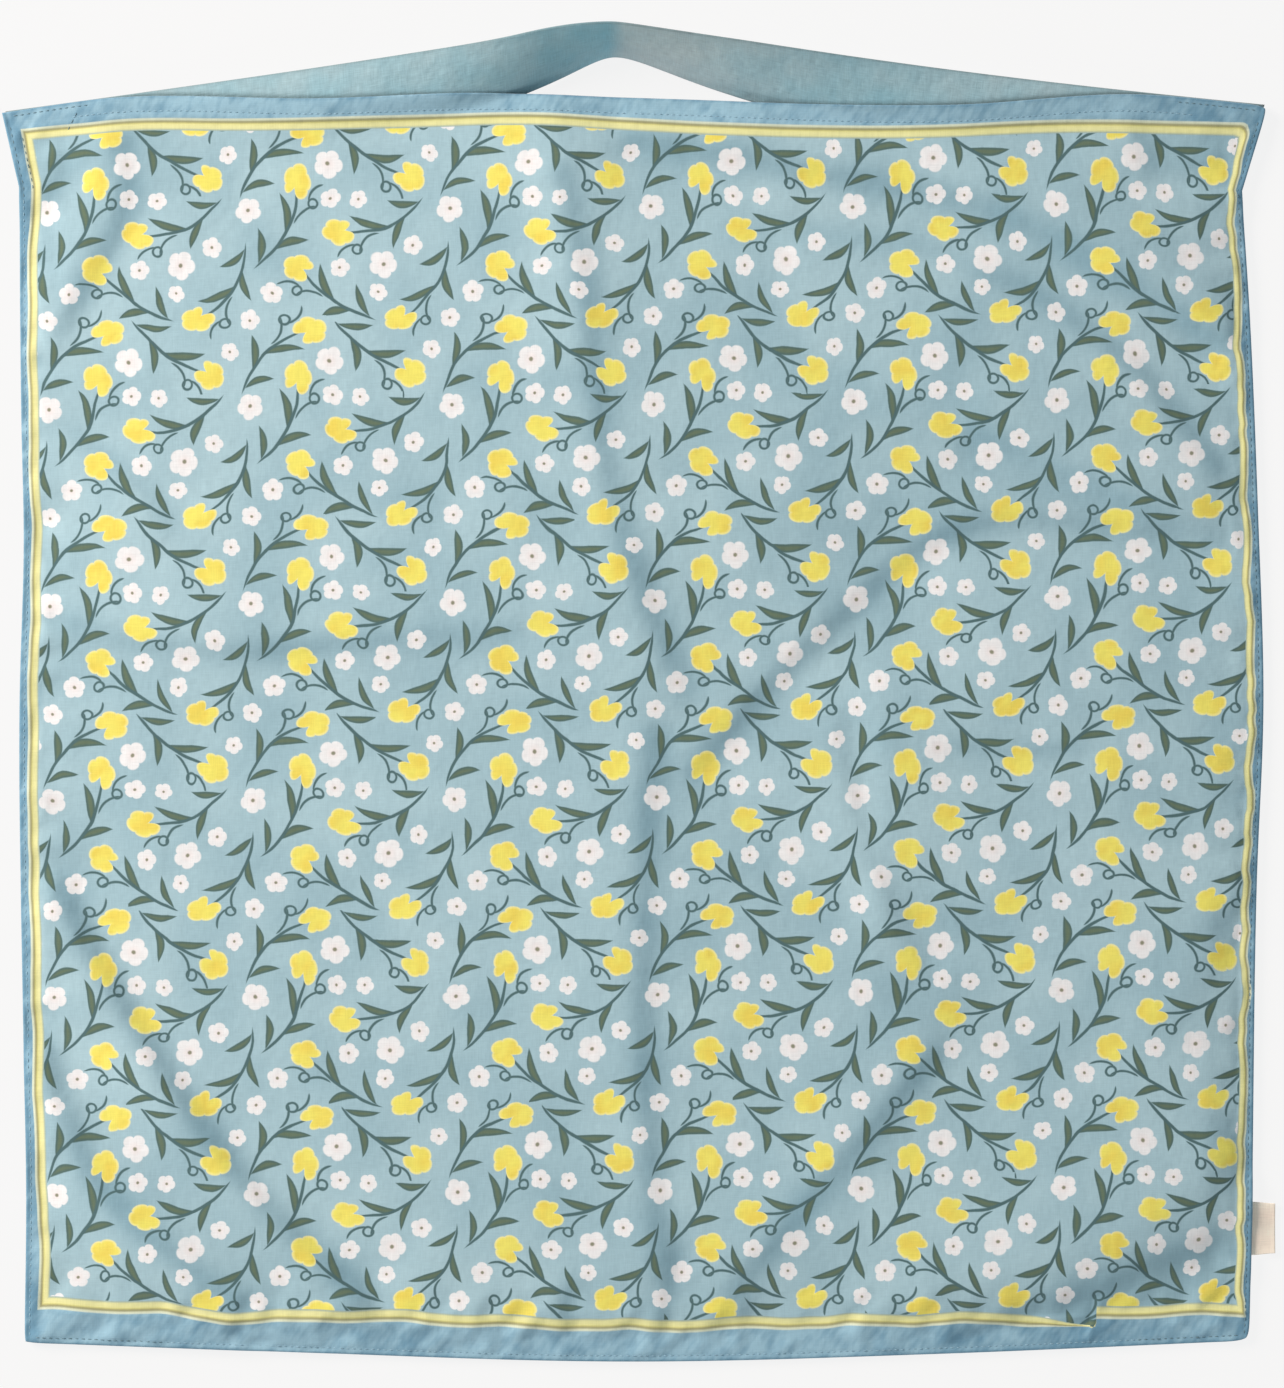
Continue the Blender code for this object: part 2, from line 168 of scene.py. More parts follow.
# left and right edges blended across, foot and top blended up, less the corners counted twice;
# then the foot's corners and the right wing's are drawn in by pull * exp(-(way along both
# edges) / round)
def onPanel(across, up):
    left = sidePoints(leftSide, topEdge[0][1:], up)
    right = sidePoints(rightSide, topEdge[-1][1:], up)
    foot, top = along(footEdge, across), along(topEdge, across)
    a, u = across[..., None], up[..., None]
    corners = (
        (1 - a) * (1 - u) * np.array(footEdge[0][1:]) + a * (1 - u) * np.array(footEdge[-1][1:])
        + (1 - a) * u * np.array(topEdge[0][1:]) + a * u * np.array(topEdge[-1][1:])
    )
    points = (1 - a) * left + a * right + (1 - u) * foot + u * top - corners
    leftIn = bag["leftPull"] * np.exp(-(across + up) * bag["span"] / bag["cornerRound"])
    rightIn = bag["rightPull"] * np.exp(-(1.0 - across + up) * bag["span"] / bag["cornerRound"])
    wingIn = bag["wingPull"] * np.exp(-(2.0 - across - up) * bag["span"] / bag["cornerRound"])
    return points + np.stack((leftIn - rightIn - wingIn, leftIn + rightIn - wingIn), -1)


# each fold is rise * exp(0.4 - sqrt((distance beside its bowed line / width)^2 + 0.16)),
# faded past both ends by exp(-(distance past / fade)^2); a negative rise is a trough
def foldLift(x, y, rows):
    lift = np.zeros_like(x)
    for x0, y0, x1, y1, bow, rise, left, right, fade in rows:
        run = np.hypot(x1 - x0, y1 - y0)
        dx, dy = (x1 - x0) / run, (y1 - y0) / run
        t = ((x - x0) * dx + (y - y0) * dy) / run
        beside = (y - y0) * dx - (x - x0) * dy - bow * 4.0 * t * (1.0 - t)
        width = np.where(beside > 0.0, left, right)
        crease = np.exp(0.4 - np.sqrt((beside / width) ** 2 + 0.16))
        pastEnd = np.maximum(0.0, np.maximum(-t, t - 1.0)) * run
        lift += rise * crease * bell(pastEnd, fade)
    return lift


strap = dict(
    thickness=0.0013,
    width=0.038,
    peakX=-0.0100,
    peakY=0.6648,
    peakRound=0.008,
    peakTilt=np.radians(72.0),
    leftDecay=3.6,
    rightDecay=2.2,
    crease=0.045,
    rightSag=0.0022,
    bulge=0.0018,  # the outer edge bows out beside the peak
    bulgeX=-0.036,
    endInset=0.0015,
    solidThickness=0.0015,
)


# 0 at the peak, 1 at a corner
def strapArm(x):
    reach = np.where(x < strap["peakX"], strap["peakX"] - topEdge[0][1], topEdge[-1][1] - strap["peakX"])
    return np.abs(x - strap["peakX"]) / reach


# flat at the corners; the tilt falls off from the peak as exp(-decay * arm)
def strapTilt(x):
    share = np.sqrt(strapArm(x) ** 2 + strap["crease"] ** 2) - strap["crease"]
    decay = np.where(x < strap["peakX"], strap["leftDecay"], strap["rightDecay"])
    fall = np.exp(-decay * share) - np.exp(-decay)
    return strap["peakTilt"] * np.clip(fall, 0.0, None) / (1.0 - np.exp(-decay))


# two straight arms with a rounded peak, the right one sagging by a half sine
def strapOuterY(x):
    cornerY = np.where(x < strap["peakX"], topEdge[0][2], topEdge[-1][2])
    arm = strapArm(x)
    rounding = strap["peakRound"] / (strap["peakX"] - topEdge[0][1])
    alongArm = np.sqrt(arm**2 + rounding**2) - rounding
    sag = np.where(x > strap["peakX"], strap["rightSag"] * np.sin(np.pi * np.clip(arm, 0, 1)), 0.0)
    return strap["peakY"] - (strap["peakY"] - cornerY) * alongArm - sag


def strapInnerY(x):
    return strapOuterY(x) - strap["width"] * np.cos(strapTilt(x))


# how far a spot lies beyond the mouth's hem
def pastMouth(x, y):
    share = (x - topEdge[0][1]) / (topEdge[-1][1] - topEdge[0][1])
    return y - along(topEdge, np.clip(share, 0.0, 1.0))[..., 1]


# the inner edge stands on the back cloth, or on the table beyond its hem
def strapFootZ(x):
    return (bag["panelThickness"] + bag["gap"]) * easeOut(pastMouth(x, strapInnerY(x)), 0.002, 0.012)


# what the strap under the front cloth raises it by
def strapLift(x, y):
    inner, outer = strapInnerY(x), strapOuterY(x)
    upStrap = np.clip((y - inner) / (outer - inner), 0.0, 1.0)
    tilt = strapTilt(x)
    clear = bag["gap"] * (1.0 + 3.0 * np.sin(tilt))
    needed = strap["solidThickness"] / np.cos(tilt) + clear + upStrap * strap["width"] * np.sin(tilt)
    return needed * softStep(y, inner - 0.024, inner - 0.007)


label = dict(
    width=0.0265,
    shown=0.0115,
    sewnIn=0.0065,
    middleY=0.0665,
    thickness=0.0005,
    drop=0.0012,
    curl=0.0007,
    taper=0.06,
)


# what the label's sewn end raises the front cloth by
def labelLift(x, y):
    needed = 2.0 * label["thickness"] + 3.0 * bag["gap"]
    pastLabel = np.abs(y - label["middleY"]) - 0.5 * label["width"]
    return needed * softStep(x, 0.284, 0.298) * easeOut(pastLabel, 0.004, 0.022)


# the front cloth's underside: loft, folds and puffed seam, or what lies under it if higher
def panelUnderside(x, y, fromSide, fromFoot):
    inside = softStep(fromSide, 0.0, bag["loftReach"]) * softStep(fromFoot, 0.0, bag["loftReach"])
    loose = softStep(fromSide, 0.0, bag["seamFree"]) * softStep(fromFoot, 0.0, bag["seamFree"])
    wave = 0.65 + 0.35 * np.sin(2.0 * np.pi * y / bag["rollWave"] + 5.0 * x)
    puff = bell(fromSide - bag["rollWidth"], 0.6 * bag["rollWidth"])
    free = bag["middleLoft"] * inside + foldLift(x, y, folds.values()) * loose + bag["rollRise"] * wave * puff
    free = largerOf(free, 0.0, bag["blend"] * loose)
    held = np.maximum(strapLift(x, y), labelLift(x, y))
    return bag["panelThickness"] + bag["gap"] + largerOf(free, held, bag["blend"] * loose), held


# smooth random heights: seeded values on a lattice, blended by t*t*(3 - 2t); about -1 to 1
def softNoise(x, y, scaleX, scaleY, seed):
    values = np.random.default_rng(seed).uniform(-1.0, 1.0, (64, 64))
    gx, gy = x / scaleX + 400.3, y / scaleY + 400.7
    ix, iy = np.floor(gx).astype(int), np.floor(gy).astype(int)
    tx, ty = gx - ix, gy - iy
    tx, ty = tx * tx * (3 - 2 * tx), ty * ty * (3 - 2 * ty)
    a, b = values[ix % 64, iy % 64], values[(ix + 1) % 64, iy % 64]
    c, d = values[ix % 64, (iy + 1) % 64], values[(ix + 1) % 64, (iy + 1) % 64]
    return (a * (1 - tx) + b * tx) * (1 - ty) + (c * (1 - tx) + d * tx) * ty


# a large noise and a smaller one, each with its share, size and seed
def twoNoises(x, y, large, small):
    total = large[0] * softNoise(x, y, large[1], large[1], large[2])
    return total + small[0] * softNoise(y, x, small[1], small[1], small[2])


# how far along both diagonals
def diagonals(x, y):
    return (x + y) * 0.7071, (x - y) * 0.7071


# the bag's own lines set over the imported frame, by the front cloth's box
outline = np.concatenate([onPanel(np.linspace(0, 1, 400), np.full(400, v)) for v in (0.0, 1.0)])
packedLow = np.array(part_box("front_panel")[0][:2])
shift = packedLow - outline.min(axis=0)
print("bag lines moved by", shift.round(5))


def place(points):
    return np.asarray(points) + np.array([shift[0], shift[1], 0.0])


def addObject(name, data):
    thing = bpy.data.objects.new(name, data)
    bpy.context.scene.collection.objects.link(thing)
    return thing


# one mesh object at the origin from whole arrays; maps are per-vertex uv arrays by name
def addPiece(name, points, faces, materials, maps=None, slots=None):
    faces = np.asarray(faces, dtype=np.int32)
    mesh = bpy.data.meshes.new(name)
    mesh.vertices.add(len(points))
    mesh.vertices.foreach_set("co", np.asarray(points, dtype=np.float32).ravel())
    mesh.loops.add(faces.size)
    mesh.loops.foreach_set("vertex_index", faces.ravel())
    mesh.polygons.add(len(faces))
    mesh.polygons.foreach_set("loop_start", np.arange(0, faces.size, faces.shape[1], dtype=np.int32))
    for material in materials:
        mesh.materials.append(material)
    if slots is not None:
        mesh.polygons.foreach_set("material_index", np.asarray(slots, dtype=np.int32))
    for mapName, uv in (maps or {}).items():
        layer = mesh.uv_layers.new(name=mapName)
        uv = np.asarray(uv, dtype=np.float32)
        uv = uv if len(uv) == faces.size else uv[faces.ravel()]
        layer.data.foreach_set("uv", uv.ravel())
    mesh.update(calc_edges=True)
    mesh.polygons.foreach_set("use_smooth", np.ones(len(faces), dtype=bool))
    mesh.validate()
    piece = addObject(name, mesh)
    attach(piece, "root")
    return piece


upright = np.array((0.0, 0.0, 1.0))


# quads of a grid listed row by row; index holds each grid point's vertex number
def gridFaces(index):
    return np.stack((index[:-1, :-1], index[:-1, 1:], index[1:, 1:], index[1:, :-1]), axis=-1).reshape(-1, 4)


# a closed thin cloth about a grid of middle points: an upper and a lower grid at plus and
# minus half its thickness along the normals, sharing the ring of points at the edge; home is
# the grid point each vertex belongs to
def closedCloth(middle, normal, half):
    rows, columns = half.shape
    upper = np.arange(rows * columns).reshape(rows, columns)
    inner = np.zeros((rows, columns), dtype=bool)
    inner[1:-1, 1:-1] = True
    lower = upper.copy()
    lower[inner] = rows * columns + np.arange(inner.sum())
    half = np.where(inner, half, 0.0)[..., None]
    points = np.concatenate(((middle + normal * half).reshape(-1, 3), (middle - normal * half)[inner]))
    home = np.concatenate((upper.ravel(), upper[inner]))
    return points, gridFaces(upper), gridFaces(lower)[:, ::-1], home


# share of the full thickness at a distance from the edge: a half round of this radius
def roundedEdge(distance, radius):
    return np.sqrt(np.clip(1.0 - (1.0 - np.minimum(distance / radius, 1.0)) ** 2, 0.0, 1.0))


# a map for both grids of a closed cloth, the upper one large and the lower one in a strip
def bakeMap(across, up, upperFaces, lowerFaces, home, strip=0.1):
    flatA, flatU = across.ravel(), up.ravel()
    upper = np.stack((0.004 + 0.992 * flatA, strip + 0.004 + (0.992 - strip) * flatU), -1)
    lower = np.stack((0.004 + 0.992 * flatA, 0.004 + (strip - 0.008) * flatU), -1)
    return np.concatenate((upper[upperFaces.ravel()], lower[home[lowerFaces.ravel()]]))


# two grids as one uv row per vertex
def asMap(u, v, home):
    return np.stack((u, v), -1).reshape(-1, 2)[home]


# grid lines over a length: close together at both hems, wider in the middle
def gridLines(length, startLines, endLines, step):
    start, end = np.array(startLines), length - np.array(endLines)[::-1]
    middle = np.linspace(start[-1], end[0], int(round((end[0] - start[-1]) / step)) + 1)[1:-1]
    return np.concatenate((start, middle, end)) / length


print("lines and helpers ready")


# node helpers: a value is a number, a tuple or another node's socket
def feed(tree, socket, value):
    if isinstance(value, bpy.types.NodeSocket):
        tree.links.new(value, socket)
    else:
        socket.default_value = value


def maths(tree, operation, *values, clamp=False):
    node = tree.nodes.new("ShaderNodeMath")
    node.operation, node.use_clamp = operation, clamp
    for socket, value in zip(node.inputs, values):
        feed(tree, socket, value)
    return node.outputs[0]


# value * by + plus
def scaled(tree, value, by, plus, clamp=False):
    return maths(tree, "MULTIPLY_ADD", value, by, plus, clamp=clamp)


def vectors(tree, operation, *values):
    node = tree.nodes.new("ShaderNodeVectorMath")
    node.operation = operation
    for socket, value in zip(node.inputs, values):
        feed(tree, socket, value)
    return node.outputs["Value" if operation in ("LENGTH", "DISTANCE", "DOT_PRODUCT") else "Vector"]


def parts(tree, vector):
    node = tree.nodes.new("ShaderNodeSeparateXYZ")
    tree.links.new(vector, node.inputs[0])
    return node.outputs


def mixColour(tree, factor, a, b):
    node = tree.nodes.new("ShaderNodeMix")
    node.data_type = "RGBA"
    feed(tree, node.inputs[0], factor)
    feed(tree, node.inputs[6], a)
    feed(tree, node.inputs[7], b)
    return node.outputs[2]


def noise(tree, vector, detail, scale=1.0):
    node = tree.nodes.new("ShaderNodeTexNoise")
    node.noise_dimensions = "2D"
    feed(tree, node.inputs["Vector"], vector)
    node.inputs["Scale"].default_value = scale
    node.inputs["Detail"].default_value = detail
    return node.outputs["Fac"]


def uvMap(tree, name):
    node = tree.nodes.new("ShaderNodeUVMap")
    node.uv_map = name
    return node.outputs["UV"]


# 1 inside a shape, 0 outside, soft over this many millimetres
def inked(tree, distance, soft):
    return scaled(tree, distance, -1.0 / soft, 0.5, clamp=True)


# a display colour, 0 to 255 a channel, as the linear colour a shader takes
def dye(red, green, blue):
    c = np.array((red, green, blue)) / 255.0
    c = np.where(c <= 0.04045, c / 12.92, ((c + 0.055) / 1.055) ** 2.4)
    return (*c.tolist(), 1.0)


dyes = dict(
    groundPale=dye(163, 195, 206),
    groundDeep=dye(129, 166, 181),
    borderPale=dye(145, 184, 203),
    borderDeep=dye(99, 143, 168),
    reverse=dye(158, 184, 192),
    reverseDeep=dye(144, 173, 184),
    plain=dye(142, 179, 197),
    plainDeep=dye(126, 164, 184),
    stem=dye(70, 102, 106),
    leafEdge=dye(70, 100, 98),
    leafMiddle=dye(92, 112, 92),
    bloomRim=dye(236, 230, 160),
    bloomBody=dye(231, 223, 104),
    bloomWarm=dye(227, 207, 88),
    blossom=dye(228, 231, 234),
    blossomWarm=dye(230, 221, 221),
    blossomHeart=dye(134, 136, 116),
    strapPale=dye(176, 196, 201),
    strapDeep=dye(124, 180, 197),
    tapeCream=dye(255, 246, 230),
    tapeRose=dye(252, 236, 220),
    strapEdge=dye(92, 118, 124),
    thread=dye(146, 182, 199),
    threadDeep=dye(122, 160, 180),
    sideThread=dye(104, 140, 158),
)


# a material with these values on its shader's own sockets
def newMaterial(name, values):
    material = bpy.data.materials.new(name)
    material.use_nodes = True
    shader = material.node_tree.nodes["Principled BSDF"]
    for socket, value in values.items():
        shader.inputs[socket].default_value = value
    return material, material.node_tree, shader


def clothMaterial(name, sheen=0.20):
    return newMaterial(
        name, {"Roughness": 0.82, "Specular IOR Level": 0.25, "Sheen Weight": sheen, "Sheen Roughness": 0.6}
    )


# plain weave: sin(pi u / thread) * sin(pi v / thread), with slubs from two drawn-out noises
def weaveBump(tree, shader, uv, thread=0.00036, crinkle=0.5):
    turn = np.pi / thread
    u, v, _ = parts(tree, vectors(tree, "SINE", vectors(tree, "MULTIPLY", uv, (turn, turn, 0.0))))
    crossing = maths(tree, "MULTIPLY", u, v)
    warp = noise(tree, vectors(tree, "MULTIPLY", uv, (2100.0, 140.0, 0.0)), detail=0.0)
    weft = noise(tree, vectors(tree, "MULTIPLY", uv, (140.0, 2100.0, 0.0)), detail=0.0)
    slubs = maths(tree, "ADD", warp, weft)
    creases = noise(tree, uv, scale=170.0, detail=1.0)
    height = scaled(tree, crossing, 0.25, maths(tree, "MULTIPLY", creases, crinkle * 6.0))
    bump = tree.nodes.new("ShaderNodeBump")
    bump.inputs["Strength"].default_value = 0.35
    bump.inputs["Distance"].default_value = 0.00022
    tree.links.new(height, bump.inputs["Height"])
    tree.links.new(bump.outputs["Normal"], shader.inputs["Normal"])
    return slubs


# soft clouds over a cloth, from 0 to 1
def clouds(tree, uv, scale):
    return scaled(tree, noise(tree, uv, scale=scale, detail=1.5), 2.6, -0.8, clamp=True)


# the slubs' own lighter and darker threads over a colour
def threaded(tree, colour, slubs, thread=0.10):
    shade = scaled(tree, slubs, thread, 1.0 - thread)
    return vectors(tree, "MULTIPLY", colour, shade)


# The print, in millimetres on one wrapped tile. All sprigs share one drawing: its leaves and
# lines are start, end, bow and half width, the curl is x, y, radius and half width, the bloom
# x, y and radius. Sprigs are x, y, turn in degrees, hand (-1 mirrors), scale and bend; blossoms
# are x, y and radius.
printDesign = dict(
    tile=(100.5, 98.0),
    turn=0.5,  # degrees that the rows rise to the right
    wobble=0.7,
    soft=0.55,
    leaves=(
        ((-15, 0.4), (-3, 13.5), -2.0, 2.15), ((-6, 2.4), (13, -10.5), 2.0, 2.15),
        ((-25, -3.8), (-9, -12), 1.8, 1.9),
    ),
    lines=(
        ((-28, -4.6), (18.5, -2.2), 5.0, 0.84), ((1.5, 3.2), (14.4, 11.0), -2.6, 0.66),
        ((14.6, 6.0), (26.5, 9.6), -2.2, 0.66),
    ),
    curl=(14.9, 8.5, 2.5, 0.62),
    bloom=(21.5, -3.3, 8.15),
    sprigs=(
        (25, 16, 40, 1, 0.94, 1.2), (75, 14, 325, -1, 0.95, -1.0), (2, 46, 235, 1, 0.91, 1.4),
        (53, 44, 145, 1, 0.93, -1.3), (32, 80, 65, -1, 0.96, 0.6), (78, 78, 200, 1, 0.92, 1.0),
    ),
    blossoms=(
        (80, 59, 7.0), (95, 68, 5.0), (13, 32, 5.0), (53, 11, 7.0), (24, 45, 5.5), (3, 16, 4.5),
        (59, 57, 5.0), (54, 92, 5.0), (77, 45, 4.5), (13, 86, 6.5), (68, 91, 4.5),
    ),
)


# a row of blades as centres, unit directions, half lengths, bows and half widths
def bladeTerms(rows):
    rows = np.array([(*start, *end, bow, width) for start, end, bow, width in rows], dtype=float)
    centre, way = (rows[:, 0:2] + rows[:, 2:4]) / 2.0, (rows[:, 2:4] - rows[:, 0:2]) / 2.0
    half = np.hypot(way[:, 0], way[:, 1])
    return (*centre.T, *(way.T / half), half, rows[:, 4], rows[:, 5])


# how far spots of the sprig's drawing are outside its ink: each blade is
# |across - bow (1 - t t)| - width (1 - t t), with t from -1 to 1 along it
def outsideInk(u, v):
    d = printDesign
    outside = np.hypot(u - d["bloom"][0], v - d["bloom"][1]) - d["bloom"][2]
    outside = np.minimum(outside, np.hypot(u - d["curl"][0], v - d["curl"][1]) - d["curl"][2])
    for x, y, dx, dy, half, bow, width in zip(*bladeTerms(d["leaves"] + d["lines"])):
        t = ((u - x) * dx + (v - y) * dy) / half
        across = (v - y) * dx - (u - x) * dy - bow * (1.0 - t * t)
        outside = np.minimum(outside, np.abs(across) - width * (1.0 - np.minimum(t * t, 4.0)))
    return outside


# for each face of a cloth, from its corners' print places (faces, 4, 2): the corners' places in
# the drawing of the sprig with most ink in that face, and from its nearest blossom in radii
def motifMaps(corners):
    d = printDesign
    tile = np.array(d["tile"])
    middle = corners.mean(axis=1, keepdims=True)
    spots = np.concatenate((corners, middle, 0.5 * (corners + middle)), axis=1)
    best = np.full(len(corners), -1e9)
    inSprig, inBlossom = np.zeros_like(corners), np.zeros_like(corners)
    for x, y, turn, hand, scale, bend in d["sprigs"]:
        q = spots - (x, y) - tile * np.round((middle - (x, y)) / tile)
        c, s = np.cos(np.radians(turn)) / scale, np.sin(np.radians(turn)) / scale
        u = q[..., 0] * c + q[..., 1] * s
        v = (q[..., 1] * c - q[..., 0] * s) * hand
        v = v + bend * ((u / 20.0) ** 2 - 0.5)
        outside = outsideInk(u, v)
        ink = np.clip(0.8 - outside, 0.0, 2.0).sum(axis=1) - 0.001 * outside[:, 4]
        better = ink > best
        best = np.where(better, ink, best)
        inSprig[better] = np.stack((u, v), -1)[better, :4]
    best = np.full(len(corners), 1e9)
    for x, y, radius in d["blossoms"]:
        q = (spots - (x, y) - tile * np.round((middle - (x, y)) / tile)) / radius
        reach = np.hypot(q[:, 4, 0], q[:, 4, 1]) * radius - radius
        c, s = np.cos(2.0 * radius), np.sin(2.0 * radius)  # each blossom has a turn of its own
        q = np.stack((q[..., 0] * c - q[..., 1] * s, q[..., 0] * s + q[..., 1] * c), -1)
        better = reach < best
        best = np.where(better, reach, best)
        inBlossom[better] = q[better, :4]
    return inSprig.reshape(-1, 2), inBlossom.reshape(-1, 2)


# three blades at once, one in each channel, as in outsideInk; even squares t t twice more, for
# a line of even width
def threeBlades(tree, u, v, rows, even):
    x, y, dx, dy, half, bow, width = bladeTerms(rows)
    t = vectors(tree, "MULTIPLY_ADD", v, dy / half, -(x * dx + y * dy) / half)
    t = vectors(tree, "MULTIPLY_ADD", u, dx / half, t)
    across = vectors(tree, "MULTIPLY_ADD", v, dx, x * dy - y * dx - bow)
    across = vectors(tree, "MULTIPLY_ADD", u, -dy, across)
    power = vectors(tree, "MULTIPLY", t, t)
    beside = vectors(tree, "ABSOLUTE", vectors(tree, "MULTIPLY_ADD", power, bow, across))
    if even:
        power = vectors(tree, "MULTIPLY", power, power)
        power = vectors(tree, "MULTIPLY", power, power)
    reach = vectors(tree, "SUBTRACT", vectors(tree, "MULTIPLY_ADD", power, width, beside), width)
    first, second, third = parts(tree, reach)
    return maths(tree, "MINIMUM", maths(tree, "MINIMUM", first, second), third)


# a colour laid over another inside a shape, with a soft edge
def paintOn(tree, distance, colour, under):
    return mixColour(tree, inked(tree, distance, printDesign["soft"]), under, colour)


# leaves, lines, blooms and blossoms laid in turn over the ground
def printColour(tree, wash, ground):
    d = printDesign
    spot = uvMap(tree, "sprigUV")
    u, v, _ = parts(tree, spot)
    leaves = threeBlades(tree, u, v, d["leaves"], False)
    lines = threeBlades(tree, u, v, d["lines"], True)
    x, y, radius, width = d["curl"]
    reach = vectors(tree, "DISTANCE", spot, (x, y, 0.0))
    ring = maths(tree, "ABSOLUTE", maths(tree, "SUBTRACT", reach, radius))
    lines = maths(tree, "MINIMUM", lines, maths(tree, "SUBTRACT", ring, width))
    depth = scaled(tree, leaves, -0.75, -0.25, clamp=True)
    colour = paintOn(tree, leaves, mixColour(tree, depth, dyes["leafEdge"], dyes["leafMiddle"]), ground)
    colour = paintOn(tree, lines, dyes["stem"], colour)

    # bloom: size (0.82 + 0.18 sqrt|sin(2.5 a + 0.25)|) (1 - 0.6 exp(-(a / 0.3)^2))
    # (1 + 0.08 cos(2 a + 1)), with a from the stem's side, where the notch is
    x, y, size = d["bloom"]
    back = vectors(tree, "SUBTRACT", (x, y, 0.0), spot)
    ahead, aside, _ = parts(tree, back)
    angle = maths(tree, "ARCTAN2", aside, ahead)
    lobes = maths(tree, "SINE", scaled(tree, angle, 2.5, 0.25))
    lobes = maths(tree, "SQRT", maths(tree, "ABSOLUTE", lobes))
    lobes = scaled(tree, lobes, 0.18 * size, 0.82 * size)
    notch = maths(tree, "MULTIPLY", angle, angle)
    notch = maths(tree, "EXPONENT", maths(tree, "MULTIPLY", notch, -1.0 / 0.30**2))
    notch = scaled(tree, notch, -0.60, 1.0)
    lean = maths(tree, "COSINE", scaled(tree, angle, 2.0, 1.0))
    lean = scaled(tree, lean, 0.08, 1.0)
    edge = maths(tree, "MULTIPLY", maths(tree, "MULTIPLY", lobes, notch), lean)
    bloom = maths(tree, "SUBTRACT", vectors(tree, "LENGTH", back), edge)
    body = mixColour(tree, wash, dyes["bloomBody"], dyes["bloomWarm"])
    rim = scaled(tree, bloom, 0.65, 1.05, clamp=True)
    colour = paintOn(tree, bloom, mixColour(tree, rim, body, dyes["bloomRim"]), colour)

    # blossoms: radius (0.74 + 0.26 sqrt|cos(2.5 a)|), five petals
    size = 5.6  # millimetres that a blossom's radius counts as for the softness of its edge
    spot = uvMap(tree, "blossomUV")
    right, upward, _ = parts(tree, spot)
    petals = maths(tree, "MULTIPLY", maths(tree, "ARCTAN2", upward, right), 2.5)
    petals = maths(tree, "SQRT", maths(tree, "ABSOLUTE", maths(tree, "COSINE", petals)))
    reach = maths(tree, "MULTIPLY", vectors(tree, "LENGTH", spot), size)
    blossom = maths(tree, "SUBTRACT", scaled(tree, petals, -0.26 * size, reach), 0.74 * size)
    warm = scaled(tree, reach, -0.27, 0.85, clamp=True)
    petalColour = mixColour(tree, warm, dyes["blossom"], dyes["blossomWarm"])
    colour = paintOn(tree, blossom, petalColour, colour)
    return paintOn(tree, maths(tree, "SUBTRACT", reach, 0.8), dyes["blossomHeart"], colour)


# the framing lines' colours at distances inside the outermost one, in millimetres, blended between
frameLines = (
    (0.0, dye(186, 204, 196)), (0.5, dye(208, 218, 198)), (1.1, dye(200, 208, 178)),
    (1.6, dye(160, 161, 126)), (2.2, dye(160, 158, 112)), (2.8, dye(203, 201, 130)),
    (3.3, dye(222, 221, 154)), (4.4, dye(223, 223, 162)), (5.3, dye(218, 219, 160)),
    (5.8, dye(196, 203, 160)), (6.3, dye(158, 178, 168)), (6.8, dye(154, 181, 184)),
)


# the print inside the framing lines, the border outside them
def framedColour(tree, printed, border):
    across, up, _ = parts(tree, uvMap(tree, "frameUV"))
    inside = maths(tree, "MULTIPLY", maths(tree, "MINIMUM", across, up), 1000.0)
    ramp = tree.nodes.new("ShaderNodeValToRGB")
    span = 8.0  # millimetres that the ramp covers
    stops = ramp.color_ramp.elements  # it comes with two stops, which take the first and last colours
    stops[0].position, stops[1].position = frameLines[0][0] / span, frameLines[-1][0] / span
    stops[0].color, stops[1].color = frameLines[0][1], frameLines[-1][1]
    for at, colour in frameLines[1:-1]:
        stops.new(at / span).color = colour
    tree.links.new(maths(tree, "MULTIPLY", inside, 1.0 / span), ramp.inputs[0])
    inner = scaled(tree, inside, 2.5, -6.4 * 2.5, clamp=True)  # the print starts 6.4 mm in
    outer = scaled(tree, inside, -2.5, 0.5, clamp=True)
    colour = mixColour(tree, inner, ramp.outputs[0], printed)
    return mixColour(tree, outer, colour, border)


def printedMaterial():
    material, tree, shader = clothMaterial("printedCotton")
    slubs = weaveBump(tree, shader, uvMap(tree, "clothUV"))
    paleShare, wash, _ = parts(tree, uvMap(tree, "toneUV"))
    # paleShare holds the cloudy dye together with the painted shade laid in by frontTone
    ground = mixColour(tree, paleShare, dyes["groundDeep"], dyes["groundPale"])
    slanted = tree.nodes.new("ShaderNodeMapping")
    slanted.vector_type = "TEXTURE"  # turned first, then stretched
    slanted.inputs["Rotation"].default_value = (0.0, 0.0, np.radians(54.0))
    slanted.inputs["Scale"].default_value = (0.0090, 0.0030, 1.0)
    tree.links.new(uvMap(tree, "clothUV"), slanted.inputs["Vector"])
    wrinkles = noise(tree, slanted.outputs[0], detail=1.0)  # painted shade of fine wrinkles across the border
    share = maths(tree, "ADD", paleShare, scaled(tree, wrinkles, 1.1, -0.55), clamp=True)
    border = mixColour(tree, share, dyes["borderDeep"], dyes["borderPale"])
    colour = framedColour(tree, printColour(tree, wash, ground), border)
    tree.links.new(threaded(tree, colour, slubs), shader.inputs["Base Color"])
    return material


def plainMaterial(name, pale, deep, scale=22.0, crinkle=0.5, sheen=0.20, thread=0.10, weave=0.00036):
    material, tree, shader = clothMaterial(name, sheen=sheen)
    uv = uvMap(tree, "clothUV")
    slubs = weaveBump(tree, shader, uv, thread=weave, crinkle=crinkle)
    colour = mixColour(tree, clouds(tree, uv, scale), deep, pale)
    tree.links.new(threaded(tree, colour, slubs, thread), shader.inputs["Base Color"])
    return material
